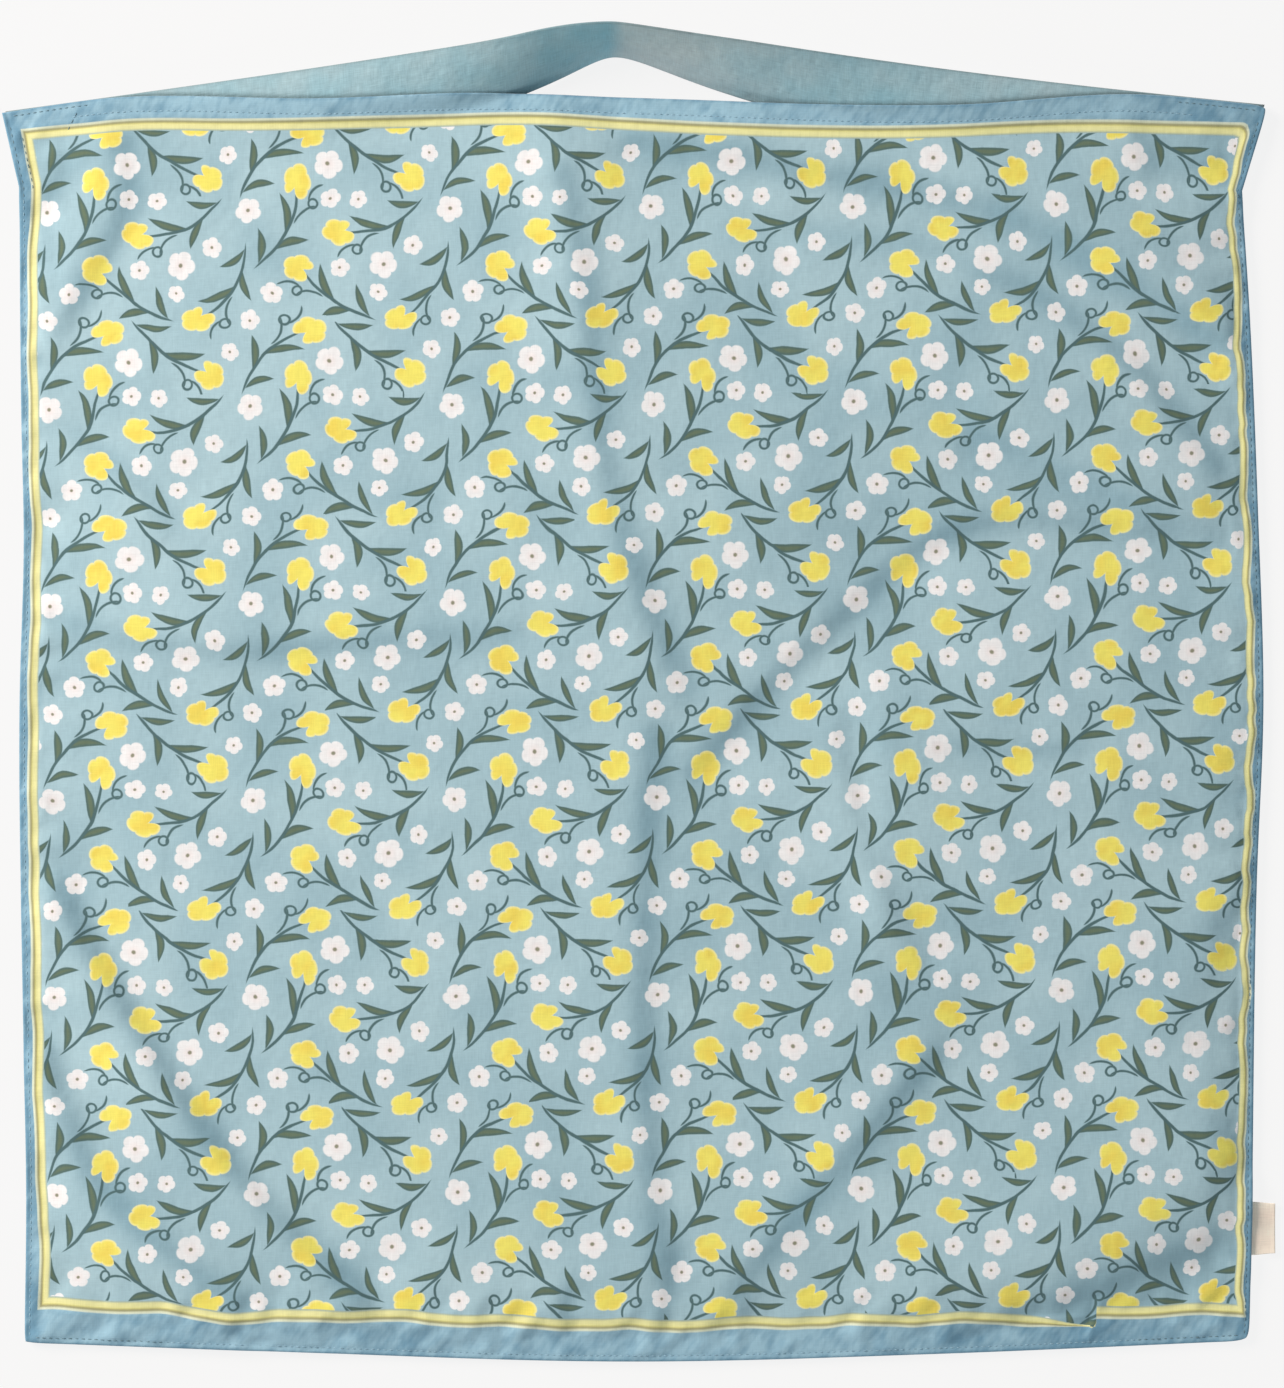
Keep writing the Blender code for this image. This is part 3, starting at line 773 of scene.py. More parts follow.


# the strap's own map carries painted light and shade along the band, darker edges and a painted
# shadow where the strap leaves the mouth; clouds make it uneven
def strapMaterial():
    material, tree, shader = clothMaterial("strapCotton", sheen=0.3)
    uv = uvMap(tree, "clothUV")
    slubs = weaveBump(tree, shader, uv, crinkle=0.8)
    paintedLight, edge, _ = parts(tree, uvMap(tree, "toneUV"))
    share = scaled(tree, clouds(tree, uv, 60.0), 0.18, maths(tree, "SUBTRACT", paintedLight, 0.09), clamp=True)
    colour = mixColour(tree, share, dyes["strapDeep"], dyes["strapPale"])
    colour = mixColour(tree, edge, colour, dyes["strapEdge"])
    tree.links.new(threaded(tree, colour, slubs, 0.20), shader.inputs["Base Color"])
    return material


printedCotton = printedMaterial()
reverseCotton = plainMaterial("reverseCotton", dyes["reverse"], dyes["reverseDeep"])
plainCotton = plainMaterial("plainCotton", dyes["plain"], dyes["plainDeep"])
strapCotton = strapMaterial()
creamTape = plainMaterial(
    "creamTape", dyes["tapeCream"], dyes["tapeRose"],
    scale=60.0, crinkle=0.2, sheen=0.1, thread=0.12, weave=0.0003,
)
print("print and cloths ready:", len(printedCotton.node_tree.nodes), "nodes in the print")


# The printed front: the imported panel's folds and hems with finer puckers, as one closed cloth.
frontCloth = dict(
    width=rightSide[2][1] - leftSide[2][1],
    height=topEdge[4][2],
    cloth=0.0008,
    hem=0.0015,
    hemEase=0.0018,  # over this the hem's turned-in cloth runs out
    sideLines=(
        0, 0.0003, 0.0008, 0.0014, 0.0021, 0.0028, 0.0034, 0.0040, 0.0048, 0.0058, 0.0067, 0.0078,
        0.0091, 0.0107, 0.0125, 0.0145, 0.0167, 0.0191, 0.0217, 0.0245,
    ),
    footLines=(
        0, 0.0003, 0.0008, 0.0015, 0.0023, 0.0030, 0.0037, 0.0046, 0.0060, 0.0076, 0.0092, 0.0108,
        0.0124, 0.0140, 0.0154, 0.0163, 0.0172, 0.0184, 0.0200, 0.0220, 0.0244, 0.0270,
    ),
    topLines=(
        0, 0.0003, 0.0008, 0.0016, 0.0028, 0.0042, 0.0058, 0.0074, 0.0080, 0.0088, 0.0098, 0.0109,
        0.0118, 0.0128, 0.0142, 0.0160, 0.0182, 0.0208, 0.0236,
    ),
    step=0.0032,
    seamRow=0.0025,
    footRow=0.0030,
    hemRow=0.0080,
    rowDepth=0.00018,
    tuck=0.8755,  # share along the foot where the cloth is caught in a small tuck
    tuckStep=0.0030,
    leftNarrow=1.15,  # how many times the framing lines are narrower at the sides
    rightNarrow=1.45,
)

# how far inside each edge the print's outermost framing line runs: share, distance
leftFrame = (
    (0, 0.0066), (0.07, 0.0066), (0.14, 0.0047), (0.22, 0.0045), (0.45, 0.004),
    (0.68, 0.0038), (0.8, 0.0038), (0.9, 0.005), (0.935, 0.0062), (1, 0.0078),
)
rightFrame = (
    (0, 0.003), (0.06, 0.003), (0.1, 0.0042), (0.15, 0.0036), (0.28, 0.0028),
    (0.45, 0.0036), (0.62, 0.0042), (0.68, 0.0036), (0.8, 0.0043), (0.9, 0.0042),
    (0.94, 0.004), (1, 0.0068),
)
footFrame = (
    (0, 0.0166), (0.1, 0.0168), (0.165, 0.0136), (0.24, 0.016), (0.4, 0.0156), (0.55, 0.015),
    (0.7, 0.015), (0.77, 0.0145), (0.845, 0.012), (0.9, 0.011), (1, 0.0096),
)
topFrame = (
    (0, 0.0096), (0.04, 0.011), (0.07, 0.012), (0.1, 0.0118), (0.16, 0.0114), (0.25, 0.0098),
    (0.35, 0.0098), (0.42, 0.0093), (0.47, 0.0099), (0.6, 0.0107), (0.77, 0.0092), (0.9, 0.012),
    (1, 0.0084),
)


# creases pressed into the cloth: height, half width of the steep side, how dark the painted shade
# in the crease is, how far that painted shade reaches on the lee side, points they run through
creases = dict(
    centreTop=(0.0012, 0.0062, 0.6, 0.009, ((-0.038, 0.604), (-0.025, 0.54), (-0.01, 0.43), (0.03, 0.32))),
    centreFoot=(0.0011, 0.0066, 0.6, 0.01, ((0.01, 0.325), (0.005, 0.24), (0.005, 0.14), (0.015, 0.03))),
    rightTrough=(
        0.0017, 0.0062, 0.5, 0.008,
        ((0.3, 0.405), (0.21, 0.42), (0.15, 0.41), (0.08, 0.35), (0.02, 0.285)),
    ),
    rightTopLong=(0.0019, 0.0062, 0.65, 0.009, ((-0.015, 0.612), (0.08, 0.595), (0.19, 0.57), (0.305, 0.5))),
    rightTopShort=(0.0014, 0.0056, 0.55, 0.008, ((0.07, 0.565), (0.16, 0.55), (0.24, 0.505), (0.3, 0.435))),
    rightShoulder=(0.0015, 0.006, 0.6, 0.02, ((0.155, 0.47), (0.22, 0.44), (0.29, 0.41))),
    rightSlack=(0.0008, 0.005, 0.35, 0.006, ((0.145, 0.31), (0.19, 0.305), (0.235, 0.308))),
    leftFootLong=(
        0.0022, 0.006, 0.55, 0.007,
        ((-0.295, 0.25), (-0.24, 0.155), (-0.19, 0.085), (-0.125, 0.025)),
    ),
    leftFootShort=(
        0.0024, 0.0064, 0.65, 0.008,
        ((-0.3, 0.17), (-0.27, 0.095), (-0.225, 0.05), (-0.175, 0.015)),
    ),
    rightFoot=(0.0013, 0.0066, 0.6, 0.01, ((0.16, 0.165), (0.095, 0.09), (0.04, 0.022))),
    rightCorner=(0.0022, 0.008, 0.6, 0.04, ((0.318, 0.072), (0.23, 0.038), (0.14, 0.008))),
    leftMiddle=(
        0.0011, 0.006, 0.35, 0.008,
        ((-0.295, 0.372), (-0.22, 0.355), (-0.13, 0.36), (-0.045, 0.365)),
    ),
    leftTop=(0.0013, 0.006, 0.6, 0.008, ((-0.258, 0.62), (-0.255, 0.575), (-0.295, 0.5))),
    leftUpper=(0.0009, 0.0056, 0.4, 0.007, ((-0.295, 0.475), (-0.25, 0.44), (-0.225, 0.41))),
    leftWing=(0.0009, 0.005, 0.5, 0.006, ((-0.3, 0.572), (-0.28, 0.6))),
    rightMiddle=(0.0015, 0.006, 0, 0.006, ((0.1, 0.33), (0.115, 0.26), (0.15, 0.185))),
    rightWing=(0.001, 0.0042, 0.8, 0.006, ((0.28, 0.606), (0.308, 0.576))),
    rightHem=(0.0008, 0.0045, 0.45, 0.007, ((0.245, 0.632), (0.262, 0.585))),
    rightHemFold=(0.0008, 0.003, 0.7, 0.003, ((0.3112, 0.258), (0.3095, 0.236), (0.3055, 0.208))),
    footMiddle=(0.0009, 0.004, 0.5, 0.006, ((0.022, 0.07), (0.01, 0.008))),
    footLeft=(0.0009, 0.004, 0.45, 0.006, ((-0.03, 0.05), (-0.04, 0.008))),
)
creaseEase = 0.026  # how far beside a crease the cloth takes to lie level again
leeWay = (0.87, -0.49)  # the way that the steep sides face


# each crease is -height * tanh(s / half width) * exp(-|s| / ease), with s the distance beside its
# curve towards the lee, run out at both ends of the curve; with it, how much painted crease shade each spot
# gets, 0 to 1
def creaseLift(x, y):
    lift, creaseShade = np.zeros_like(x), np.zeros_like(x)
    t = np.linspace(0.0, 1.0, 70)
    for height, width, paintedShade, reach, points in creases.values():
        rows = np.column_stack((np.linspace(0.0, 1.0, len(points)), points))
        curve = along(rows, t)
        way = np.gradient(curve, axis=0)
        side = unit(np.stack((-way[:, 1], way[:, 0]), -1))
        side *= np.sign((side @ np.array(leeWay)).sum())
        near = (np.abs(x - curve[:, 0].mean()) < 0.28) & (np.abs(y - curve[:, 1].mean()) < 0.28)
        gapX, gapY = x[near][:, None] - curve[:, 0], y[near][:, None] - curve[:, 1]
        nearest = np.hypot(gapX, gapY).argmin(axis=1)
        pick = np.arange(len(nearest))
        offX, offY = gapX[pick, nearest], gapY[pick, nearest]
        away, beside = np.hypot(offX, offY), offX * side[nearest, 0] + offY * side[nearest, 1]
        beside = np.where(np.abs(beside) > 0.7 * away, beside, 0.0)
        profile = np.tanh(beside / width) * np.exp(-away / creaseEase)
        fade = 0.018 / np.hypot(*(curve[-1] - curve[0]))
        runOut = softStep(t[nearest], 0.0, fade) * easeOut(t[nearest], 1.0 - fade, 1.0)
        lift[near] -= height * profile * runOut
        # painted shade along each crease, reaching further on its lee side
        creaseShadeHere = paintedShade * bell(away, np.where(beside > 0.0, reach, 1.2 * width)) * runOut
        creaseShade[near] = np.maximum(creaseShade[near], creaseShadeHere)
    return lift, creaseShade


# the small puckers: noises stretched along the way each hem pulls the cloth, by distance from it
def fineRelief(x, y, side, foot, top):
    slant, counter = diagonals(x, y)
    wrinkles = 0.00034 * softNoise(x + 0.3 * y, y - 0.3 * x, 0.046, 0.030, 1)
    wrinkles += 0.00020 * softNoise(x - 0.5 * y, y + 0.5 * x, 0.023, 0.016, 2)
    sidePull = 0.00095 * softNoise(x, y, 0.024, 0.0085, 3) * bell(side - 0.010, 0.010)
    footPull = 0.00130 * softNoise(counter, slant, 0.0062, 0.017, 4)
    footPull += 0.00060 * softNoise(x, y, 0.0060, 0.030, 5)
    footPull *= softStep(foot, 0.0005, 0.005) * easeOut(foot, 0.018, 0.040)
    topPull = 0.00030 * softNoise(x, y, 0.016, 0.030, 6) * easeOut(top, 0.012, 0.034)
    wing = easeOut(side, 0.020, 0.042) * easeOut(top, 0.030, 0.052)
    cornerPull = 0.00090 * softNoise(slant, counter, 0.0064, 0.0064, 7) * wing
    hem = 1.0 - softStep(foot, 0.014, 0.022) * softStep(side, 0.006, 0.014)
    corner = bell(side + foot, 0.030)
    crinkles = 0.00055 * softNoise(x + 0.4 * y, y - 0.4 * x, 0.0074, 0.0056, 8)
    crinkles *= np.clip(hem + corner, 0.0, 1.0)
    crinkles += 0.00040 * softNoise(counter, slant, 0.0120, 0.0050, 10) * hem
    crinkles += 0.00075 * softNoise(counter, slant, 0.0100, 0.0052, 9) * corner
    nearest = np.minimum.reduce((side, foot, top))
    return (wrinkles + sidePull + footPull + topPull + cornerPull + crinkles) * softStep(nearest, 0.0, 0.003)


# distances inside the sides, the foot and the mouth, at shares across and up the front
def insideEdges(across, up):
    side = np.minimum(across, 1.0 - across) * frontCloth["width"]
    return side, up * frontCloth["height"], (1.0 - up) * frontCloth["height"]


# 1 in the turned hems, 0 inside them
def hemmed(side, foot, top, footHem):
    share = np.zeros_like(side)
    for distance, hem in ((side, bag["sideHem"]), (foot, footHem), (top, bag["topHem"])):
        share = np.maximum(share, easeOut(distance, hem, hem + frontCloth["hemEase"]))
    return share


# x, y, the upper face's height and the cloth's thickness at shares across and up the front
def frontSurface(across, up):
    c = frontCloth
    x, y = np.moveaxis(onPanel(across, up), -1, 0)
    side, foot, top = insideEdges(across, up)
    under, held = panelUnderside(x, y, side, foot)
    hemShare = hemmed(side, foot, top, bag["footHem"])
    relief = fineRelief(x, y, side, foot, top) + creaseLift(x, y)[0]
    relief = np.maximum(relief, bag["panelThickness"] + bag["gap"] - under)
    relief = np.where(relief < 0.0, relief * (1.0 - 0.6 * softStep(held, 0.0, 0.002)), relief)
    rows = bell(side - c["seamRow"], 0.0007) + bell(foot - c["footRow"], 0.0007)
    rows += 0.7 * bell(top - c["hemRow"], 0.0008)
    toTuck = (across - c["tuck"]) * c["width"] - 0.25 * (foot - 0.015)
    tuck = 0.0016 * np.exp(-np.maximum(toTuck, 0.0) / 0.009) * softStep(toTuck, -0.0016, 0.0)
    tuck *= softStep(foot, 0.003, 0.010) * easeOut(foot, 0.020, 0.042)
    thicker = (bag["hemThickness"] - bag["panelThickness"]) * hemShare
    z = under + bag["panelThickness"] + thicker + relief + tuck - c["rowDepth"] * np.clip(rows, 0.0, 1.0)
    return x, y, z, c["cloth"] + (c["hem"] - c["cloth"]) * hemShare


# how pale the front's colour is, 0 to 1: cloudy, darker along both side hems, with painted shade in
# creases, along the very edge, in the foot's corners and in the wings, and streaks on the hems of uneven dye
# and painted pucker shade; with it, the blooms' own wash
def frontTone(x, y, side, foot, top):
    paleShare = twoNoises(x, y, (0.6, 0.034, 33), (0.4, 0.015, 34))
    wash = twoNoises(x, y, (0.6, 0.0065, 35), (0.4, 0.004, 36))
    ends = np.minimum(foot, top)
    edge = np.minimum(side, ends)
    hem = 1.0 - softStep(foot, 0.015, 0.018) * softStep(edge, 0.010, 0.013)
    slant, counter = diagonals(x, y)
    # streaks on the hems: uneven dye and painted shade of the hems' puckers
    streaks = softNoise(counter, slant, 0.011, 0.0034, 38) + softNoise(counter, slant, 0.0036, 0.010, 39)
    mottleAndPuckerShade = hem * (0.30 * softNoise(x, y, 0.0062, 0.0048, 37) + 0.20 * streaks - 0.05)
    # darker along both side hems, with painted shade in the foot's corners and in the wings
    band = 0.48 * easeOut(side, 0.0045, 0.0085) + 0.30 * bell(side + ends, 0.030) * (foot < top)
    band += 0.34 * easeOut(side, 0.026, 0.060) * easeOut(top, 0.030, 0.042)
    # painted shade in the creases and along the very edge, with the hem streaks and the band above
    paintedShade = creaseLift(x, y)[1] + 0.70 * bell(edge, 0.0011) + mottleAndPuckerShade + band
    return np.clip(0.78 + 0.42 * paleShare - paintedShade, 0.0, 1.0), np.clip(0.35 + 1.2 * wash, 0.0, 1.0)


# how far the frame runs inside its edge: its table, slow waves (height, length, phase) and small
# uneven ones (height, size, seed)
def frameInset(rows, share, way, waves=(), wobbles=()):
    inset = along(rows, share)[..., 0]
    for height, length, phase in waves:
        inset = inset + height * np.sin(2.0 * np.pi * way / length + phase)
    for height, size, seed in wobbles:
        inset = inset + height * softNoise(way, 0.0 * way, size, 1.0, seed)
    return inset


# distances inside the frame, across and up; before the tuck the foot's band is squeezed thin, past
# it the band steps up, and the frame's top right corner is rounded
def frameDistances(a, u, x, y):
    c = frontCloth
    left = frameInset(leftFrame, u, y, [(0.0003, 0.052, 1)], [(0.0004, 0.014, 41)])
    right = frameInset(rightFrame, u, y, [], [(0.0010, 0.016, 42), (0.0010, 0.0062, 43)])
    foot = frameInset(footFrame, a, x, [(0.0007, 0.057, 2)], [(0.0004, 0.011, 44)])
    top = frameInset(topFrame, a, x, [(0.0002, 0.118, 0)])
    beforeTuck = softStep(a, c["tuck"] - 0.060, c["tuck"]) * (a <= c["tuck"])
    foot = foot + c["tuckStep"] * (a > c["tuck"]) - 0.0012 * beforeTuck
    squeezed = (1.0 + 4.0 * (a == c["tuck"])) / (1.0 - 0.86 * beforeTuck)
    across = (a * c["width"] - left) * c["leftNarrow"]
    across = np.minimum(across, ((1.0 - a) * c["width"] - right) * c["rightNarrow"])
    up = np.minimum((u * c["height"] - foot) * squeezed, (1.0 - u) * c["height"] - top)
    cut = np.maximum(0.0055 - np.abs(across - up), 0.0) ** 2 / 0.022 * (a > 0.5) * (u > 0.5)
    return across - cut, up - cut


def makeFront():
    c = frontCloth
    across = gridLines(c["width"], c["sideLines"], c["sideLines"], c["step"])
    up = gridLines(c["height"], c["footLines"], c["topLines"], c["step"])
    up[np.argmin(np.abs(up - bag["wingShare"]))] = bag["wingShare"]
    across[np.argmin(np.abs(across - c["tuck"]))] = c["tuck"]
    across = np.sort(np.append(across, c["tuck"] + np.array((-0.0015, 0.0015)) / c["width"]))
    a, u = np.meshgrid(across, up)
    x, y, z, thick = frontSurface(a, u)
    side, low, high = insideEdges(a, u)
    half = 0.5 * thick * roundedEdge(np.minimum.reduce((side, low, high)), 0.5 * c["hem"])
    middle = place(np.stack((x, y, z - 0.5 * thick), -1))
    points, upper, lower, home = closedCloth(middle, upright, half)

    turn = np.radians(printDesign["turn"])
    printUv = np.stack((x * np.cos(turn) + y * np.sin(turn), y * np.cos(turn) - x * np.sin(turn)), -1)
    drift = [twoNoises(x, y, (1.0, 0.011, seed), (0.5, 0.006, seed)) for seed in (31, 32)]
    spots = printUv * 1000.0 + printDesign["wobble"] * np.stack(drift, -1)
    paleShare, wash = frontTone(x, y, side, low, high)
    frameU, frameV = frameDistances(a, u, x, y)

    faces = np.concatenate((upper, lower))
    sprigUv, blossomUv = motifMaps(spots.reshape(-1, 2)[upper])
    maps = dict(
        clothUV=printUv.reshape(-1, 2)[home],
        frameUV=asMap(frameU, frameV, home),
        toneUV=asMap(paleShare, wash, home),
        sprigUV=np.concatenate((sprigUv, np.zeros_like(sprigUv))),
        blossomUV=np.concatenate((blossomUv, np.full_like(blossomUv, 9.0))),
        OFBake=bakeMap(a, u, upper, lower, home),
    )
    slots = np.concatenate((np.zeros(len(upper), int), np.ones(len(lower), int)))
    piece = addPiece("printedFront", points, faces, (printedCotton, reverseCotton), maps, slots)
    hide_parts("front_panel")
    print("front cloth:", 2 * len(faces), "triangles")
    return piece


# The plain back, flat on the table and just inside the front's outline, with its own hems.
backCloth = dict(
    inset=0.0015,
    cloth=0.0008,
    hem=0.0012,
    lines=(0, 0.0003, 0.0008, 0.0016, 0.0026, 0.0034, 0.0044, 0.0056, 0.0068, 0.0084, 0.0105, 0.0130),
    topLines=(0, 0.0003, 0.0008, 0.0020, 0.0040, 0.0065, 0.0090, 0.0100, 0.0112, 0.0124, 0.0140),
    step=0.0078,
)


# x, y, the height of the cloth's middle and its thickness, on the front's lines drawn in a little
def backSurface(across, up):
    c, f = backCloth, frontCloth
    x, y = np.moveaxis(onPanel(across, up), -1, 0)
    x = x * (1.0 - 2.0 * c["inset"] / f["width"])
    y = 0.5 * f["height"] + (y - 0.5 * f["height"]) * (1.0 - 2.0 * c["inset"] / f["height"])
    hemShare = hemmed(*insideEdges(across, up), bag["sideHem"])
    thick = c["cloth"] + (c["hem"] - c["cloth"]) * hemShare
    ripple = 0.00007 * (1.0 + softNoise(x, y, 0.045, 0.030, 11)) * (1.0 - hemShare)
    return x, y, 0.5 * c["hem"] + ripple, thick


def makeBack():
    c, f = backCloth, frontCloth
    across = gridLines(f["width"], c["lines"], c["lines"], c["step"])
    up = gridLines(f["height"], c["lines"], c["topLines"], c["step"])
    up[np.argmin(np.abs(up - bag["wingShare"]))] = bag["wingShare"]
    a, u = np.meshgrid(across, up)
    x, y, z, thick = backSurface(a, u)
    half = 0.5 * thick * roundedEdge(np.minimum.reduce(insideEdges(a, u)), 0.5 * c["hem"])
    points, upper, lower, home = closedCloth(place(np.stack((x, y, z), -1)), upright, half)
    maps = dict(
        clothUV=asMap(x, y, home),
        OFBake=bakeMap(a, u, upper, lower, home, 0.5),
    )
    piece = addPiece("plainBack", points, np.concatenate((upper, lower)), (plainCotton,), maps)
    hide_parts("back_panel")
    print("back cloth:", 4 * len(upper), "triangles")
    return piece


# how much paler the strap is painted, from 0 to 1, at places along x: painted light and shade along the band,
# darkest just left of the peak, where the band faces away from the key, and palest just right of it
strapPaintedLight = (
    (-0.32, 0.4), (-0.17, 0.42), (-0.09, 0.4), (-0.055, 0.38), (-0.03, 0.18), (-0.014, 0.05),
    (-0.005, 0.9), (0.02, 1), (0.05, 0.65), (0.1, 0.3), (0.13, 0.35), (0.18, 0.5), (0.32, 0.4),
)


# The strap: cloth folded double, standing on its inner edge and leaning outwards at the peak.
def makeStrap():
    arms = []
    for tip, kink, way in ((topEdge[0], leftSide[-1], -1.0), (topEdge[-1], rightSide[-1], 1.0)):
        share = np.linspace(0.0, 1.0, 120) ** 1.3
        reach = way * (tip[1] - strap["peakX"]) - strap["endInset"]
        outerX = strap["peakX"] + way * reach * share
        slant = (kink[1] - tip[1]) * share**2  # the cut end follows the wing's edge
        rise = strap["width"] * np.sin(strapTilt(outerX))
        foot = strapFootZ(outerX)
        inner = np.stack((outerX + slant, strapInnerY(outerX) - bag["gap"], foot), -1)
        bulge = strap["bulge"] * bell(outerX - strap["bulgeX"], 0.024)
        outer = np.stack((outerX, strapOuterY(outerX) + bulge - bag["gap"], foot + rise), -1)
        arms.append((inner, outer))
    inner = np.concatenate((arms[0][0][::-1], arms[1][0][1:]))
    outer = np.concatenate((arms[0][1][::-1], arms[1][1][1:]))
    lines = (0, 0.0002, 0.0006, 0.0012, 0.0020, 0.0030)
    over = gridLines(strap["width"], lines, lines, 0.0012)
    base = inner + (outer - inner) * over[:, None, None]
    normal = unit(np.cross(np.gradient(base, axis=1), np.broadcast_to(outer - inner, base.shape)))
    runs = runsAlong(0.5 * (inner + outer))
    s, v = np.meshgrid(runs, over * strap["width"])
    fromEdge = np.minimum(v, strap["width"] - v)
    half = 0.5 * strap["thickness"] * roundedEdge(fromEdge, 0.5 * strap["thickness"])
    free = softStep(s, 0.10, 0.20) * easeOut(s, s.max() - 0.20, s.max() - 0.10)
    bulge = 0.0005 * np.sin(np.pi * over)[:, None] * free
    ripple = 0.00030 * softNoise(s, v, 0.034, 0.016, 21) + 0.00016 * softNoise(s + v, s - v, 0.012, 0.012, 22)
    lift = (bulge + ripple * softStep(fromEdge, 0.0, 0.004)) * (0.25 + 0.75 * free)
    lift += 0.5 * strap["solidThickness"]
    points, upper, lower, home = closedCloth(place(base + normal * lift[..., None]), normal, half)
    paintedLight = np.interp(base[..., 0], *zip(*strapPaintedLight))
    # paler towards the outer edge, away from the peak
    paintedLight += 0.30 * (over[:, None] - 0.5) * softStep(np.abs(base[..., 0] - strap["peakX"]), 0.02, 0.08)
    pastHem = pastMouth(base[..., 0], base[..., 1])
    edge = 0.75 * bell(fromEdge, 0.0007)  # darker along its edges, with a painted shadow where it leaves the mouth
    # painted shadow of the front's hem on the strap
    edge = np.maximum(edge, 0.85 * bell(pastHem - 0.0006, 0.0013))
    maps = dict(
        clothUV=asMap(s, v, home),
        toneUV=asMap(np.clip(paintedLight, 0.0, 1.0), edge, home),
        OFBake=bakeMap(s / s.max(), v / strap["width"], upper, lower, home, 0.4),
    )
    piece = addPiece("strapBand", points, np.concatenate((upper, lower)), (strapCotton,), maps)
    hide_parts("shoulder_strap")
    print("strap:", 4 * len(upper), "triangles, length", round(float(runs[-1]), 4))
    return piece


# The label: one blank tape folded in half, its two ends in the seam.
def makeLabel():
    c = label
    seamX = along(rightSide, c["middleY"] / rightSide[-1][2])[0]
    inside, tip = seamX - c["sewnIn"], seamX + c["shown"]
    turn = 0.5 * (c["thickness"] + bag["gap"])
    low = bag["panelThickness"] + bag["gap"] + 0.5 * c["thickness"]
    lowerX = np.linspace(inside, tip - turn, 22)
    droop = c["drop"] * softStep(lowerX, seamX + 0.001, tip)
    angle = np.linspace(-0.5 * np.pi, 0.5 * np.pi, 11)[1:-1]
    profileX = np.concatenate((lowerX, tip - turn + turn * np.cos(angle), lowerX[::-1]))
    profileZ = np.concatenate(
        (low - droop, low - droop[-1] + turn * (1.0 + np.sin(angle)), (low + 2.0 * turn - droop)[::-1])
    )
    over = np.array((0, 0.0002, 0.0005, 0.001, 0.002, 0.004, 0.0065, 0.0095, 0.01325))
    over = np.concatenate((over, c["width"] - over[-2::-1]))
    bend = c["curl"] * softStep(profileX, seamX + 0.002, tip)[:, None]
    bend = bend * ((over / c["width"] - 0.5) ** 2 * 4.0)
    x = np.repeat(profileX[:, None], len(over), axis=1)
    narrow = 1.0 - c["taper"] * softStep(profileX, seamX, tip)[:, None]
    y = c["middleY"] + (over - 0.5 * c["width"]) * narrow
    middle = np.stack((x, y, profileZ[:, None] + bend), -1)
    normal = unit(np.cross(np.gradient(middle, axis=1), np.gradient(middle, axis=0)))
    runs = runsAlong(np.stack((profileX, profileZ), -1))
    s, v = np.meshgrid(runs, over, indexing="ij")
    edge = np.minimum(np.minimum(v, c["width"] - v), np.minimum(s, s.max() - s))
    half = 0.45 * c["thickness"] * roundedEdge(edge, 0.5 * c["thickness"])
    points, upper, lower, home = closedCloth(place(middle), normal, half)
    maps = dict(
        clothUV=asMap(s, v, home),
        OFBake=bakeMap(s / s.max(), v / c["width"], upper, lower, home, 0.5),
    )
    piece = addPiece("foldedLabel", points, np.concatenate((upper, lower)), (creamTape,), maps)
    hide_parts("side_label")
    print("label: tape length", round(float(runs[-1]), 4))
    return piece


# Stitches: each is a small spindle of thread, sunk at both ends, on a row laid over a cloth.
stitching = dict(length=0.0023, pitch=0.0031, width=0.00048, sink=0.00010, rise=0.00016, sides=6)


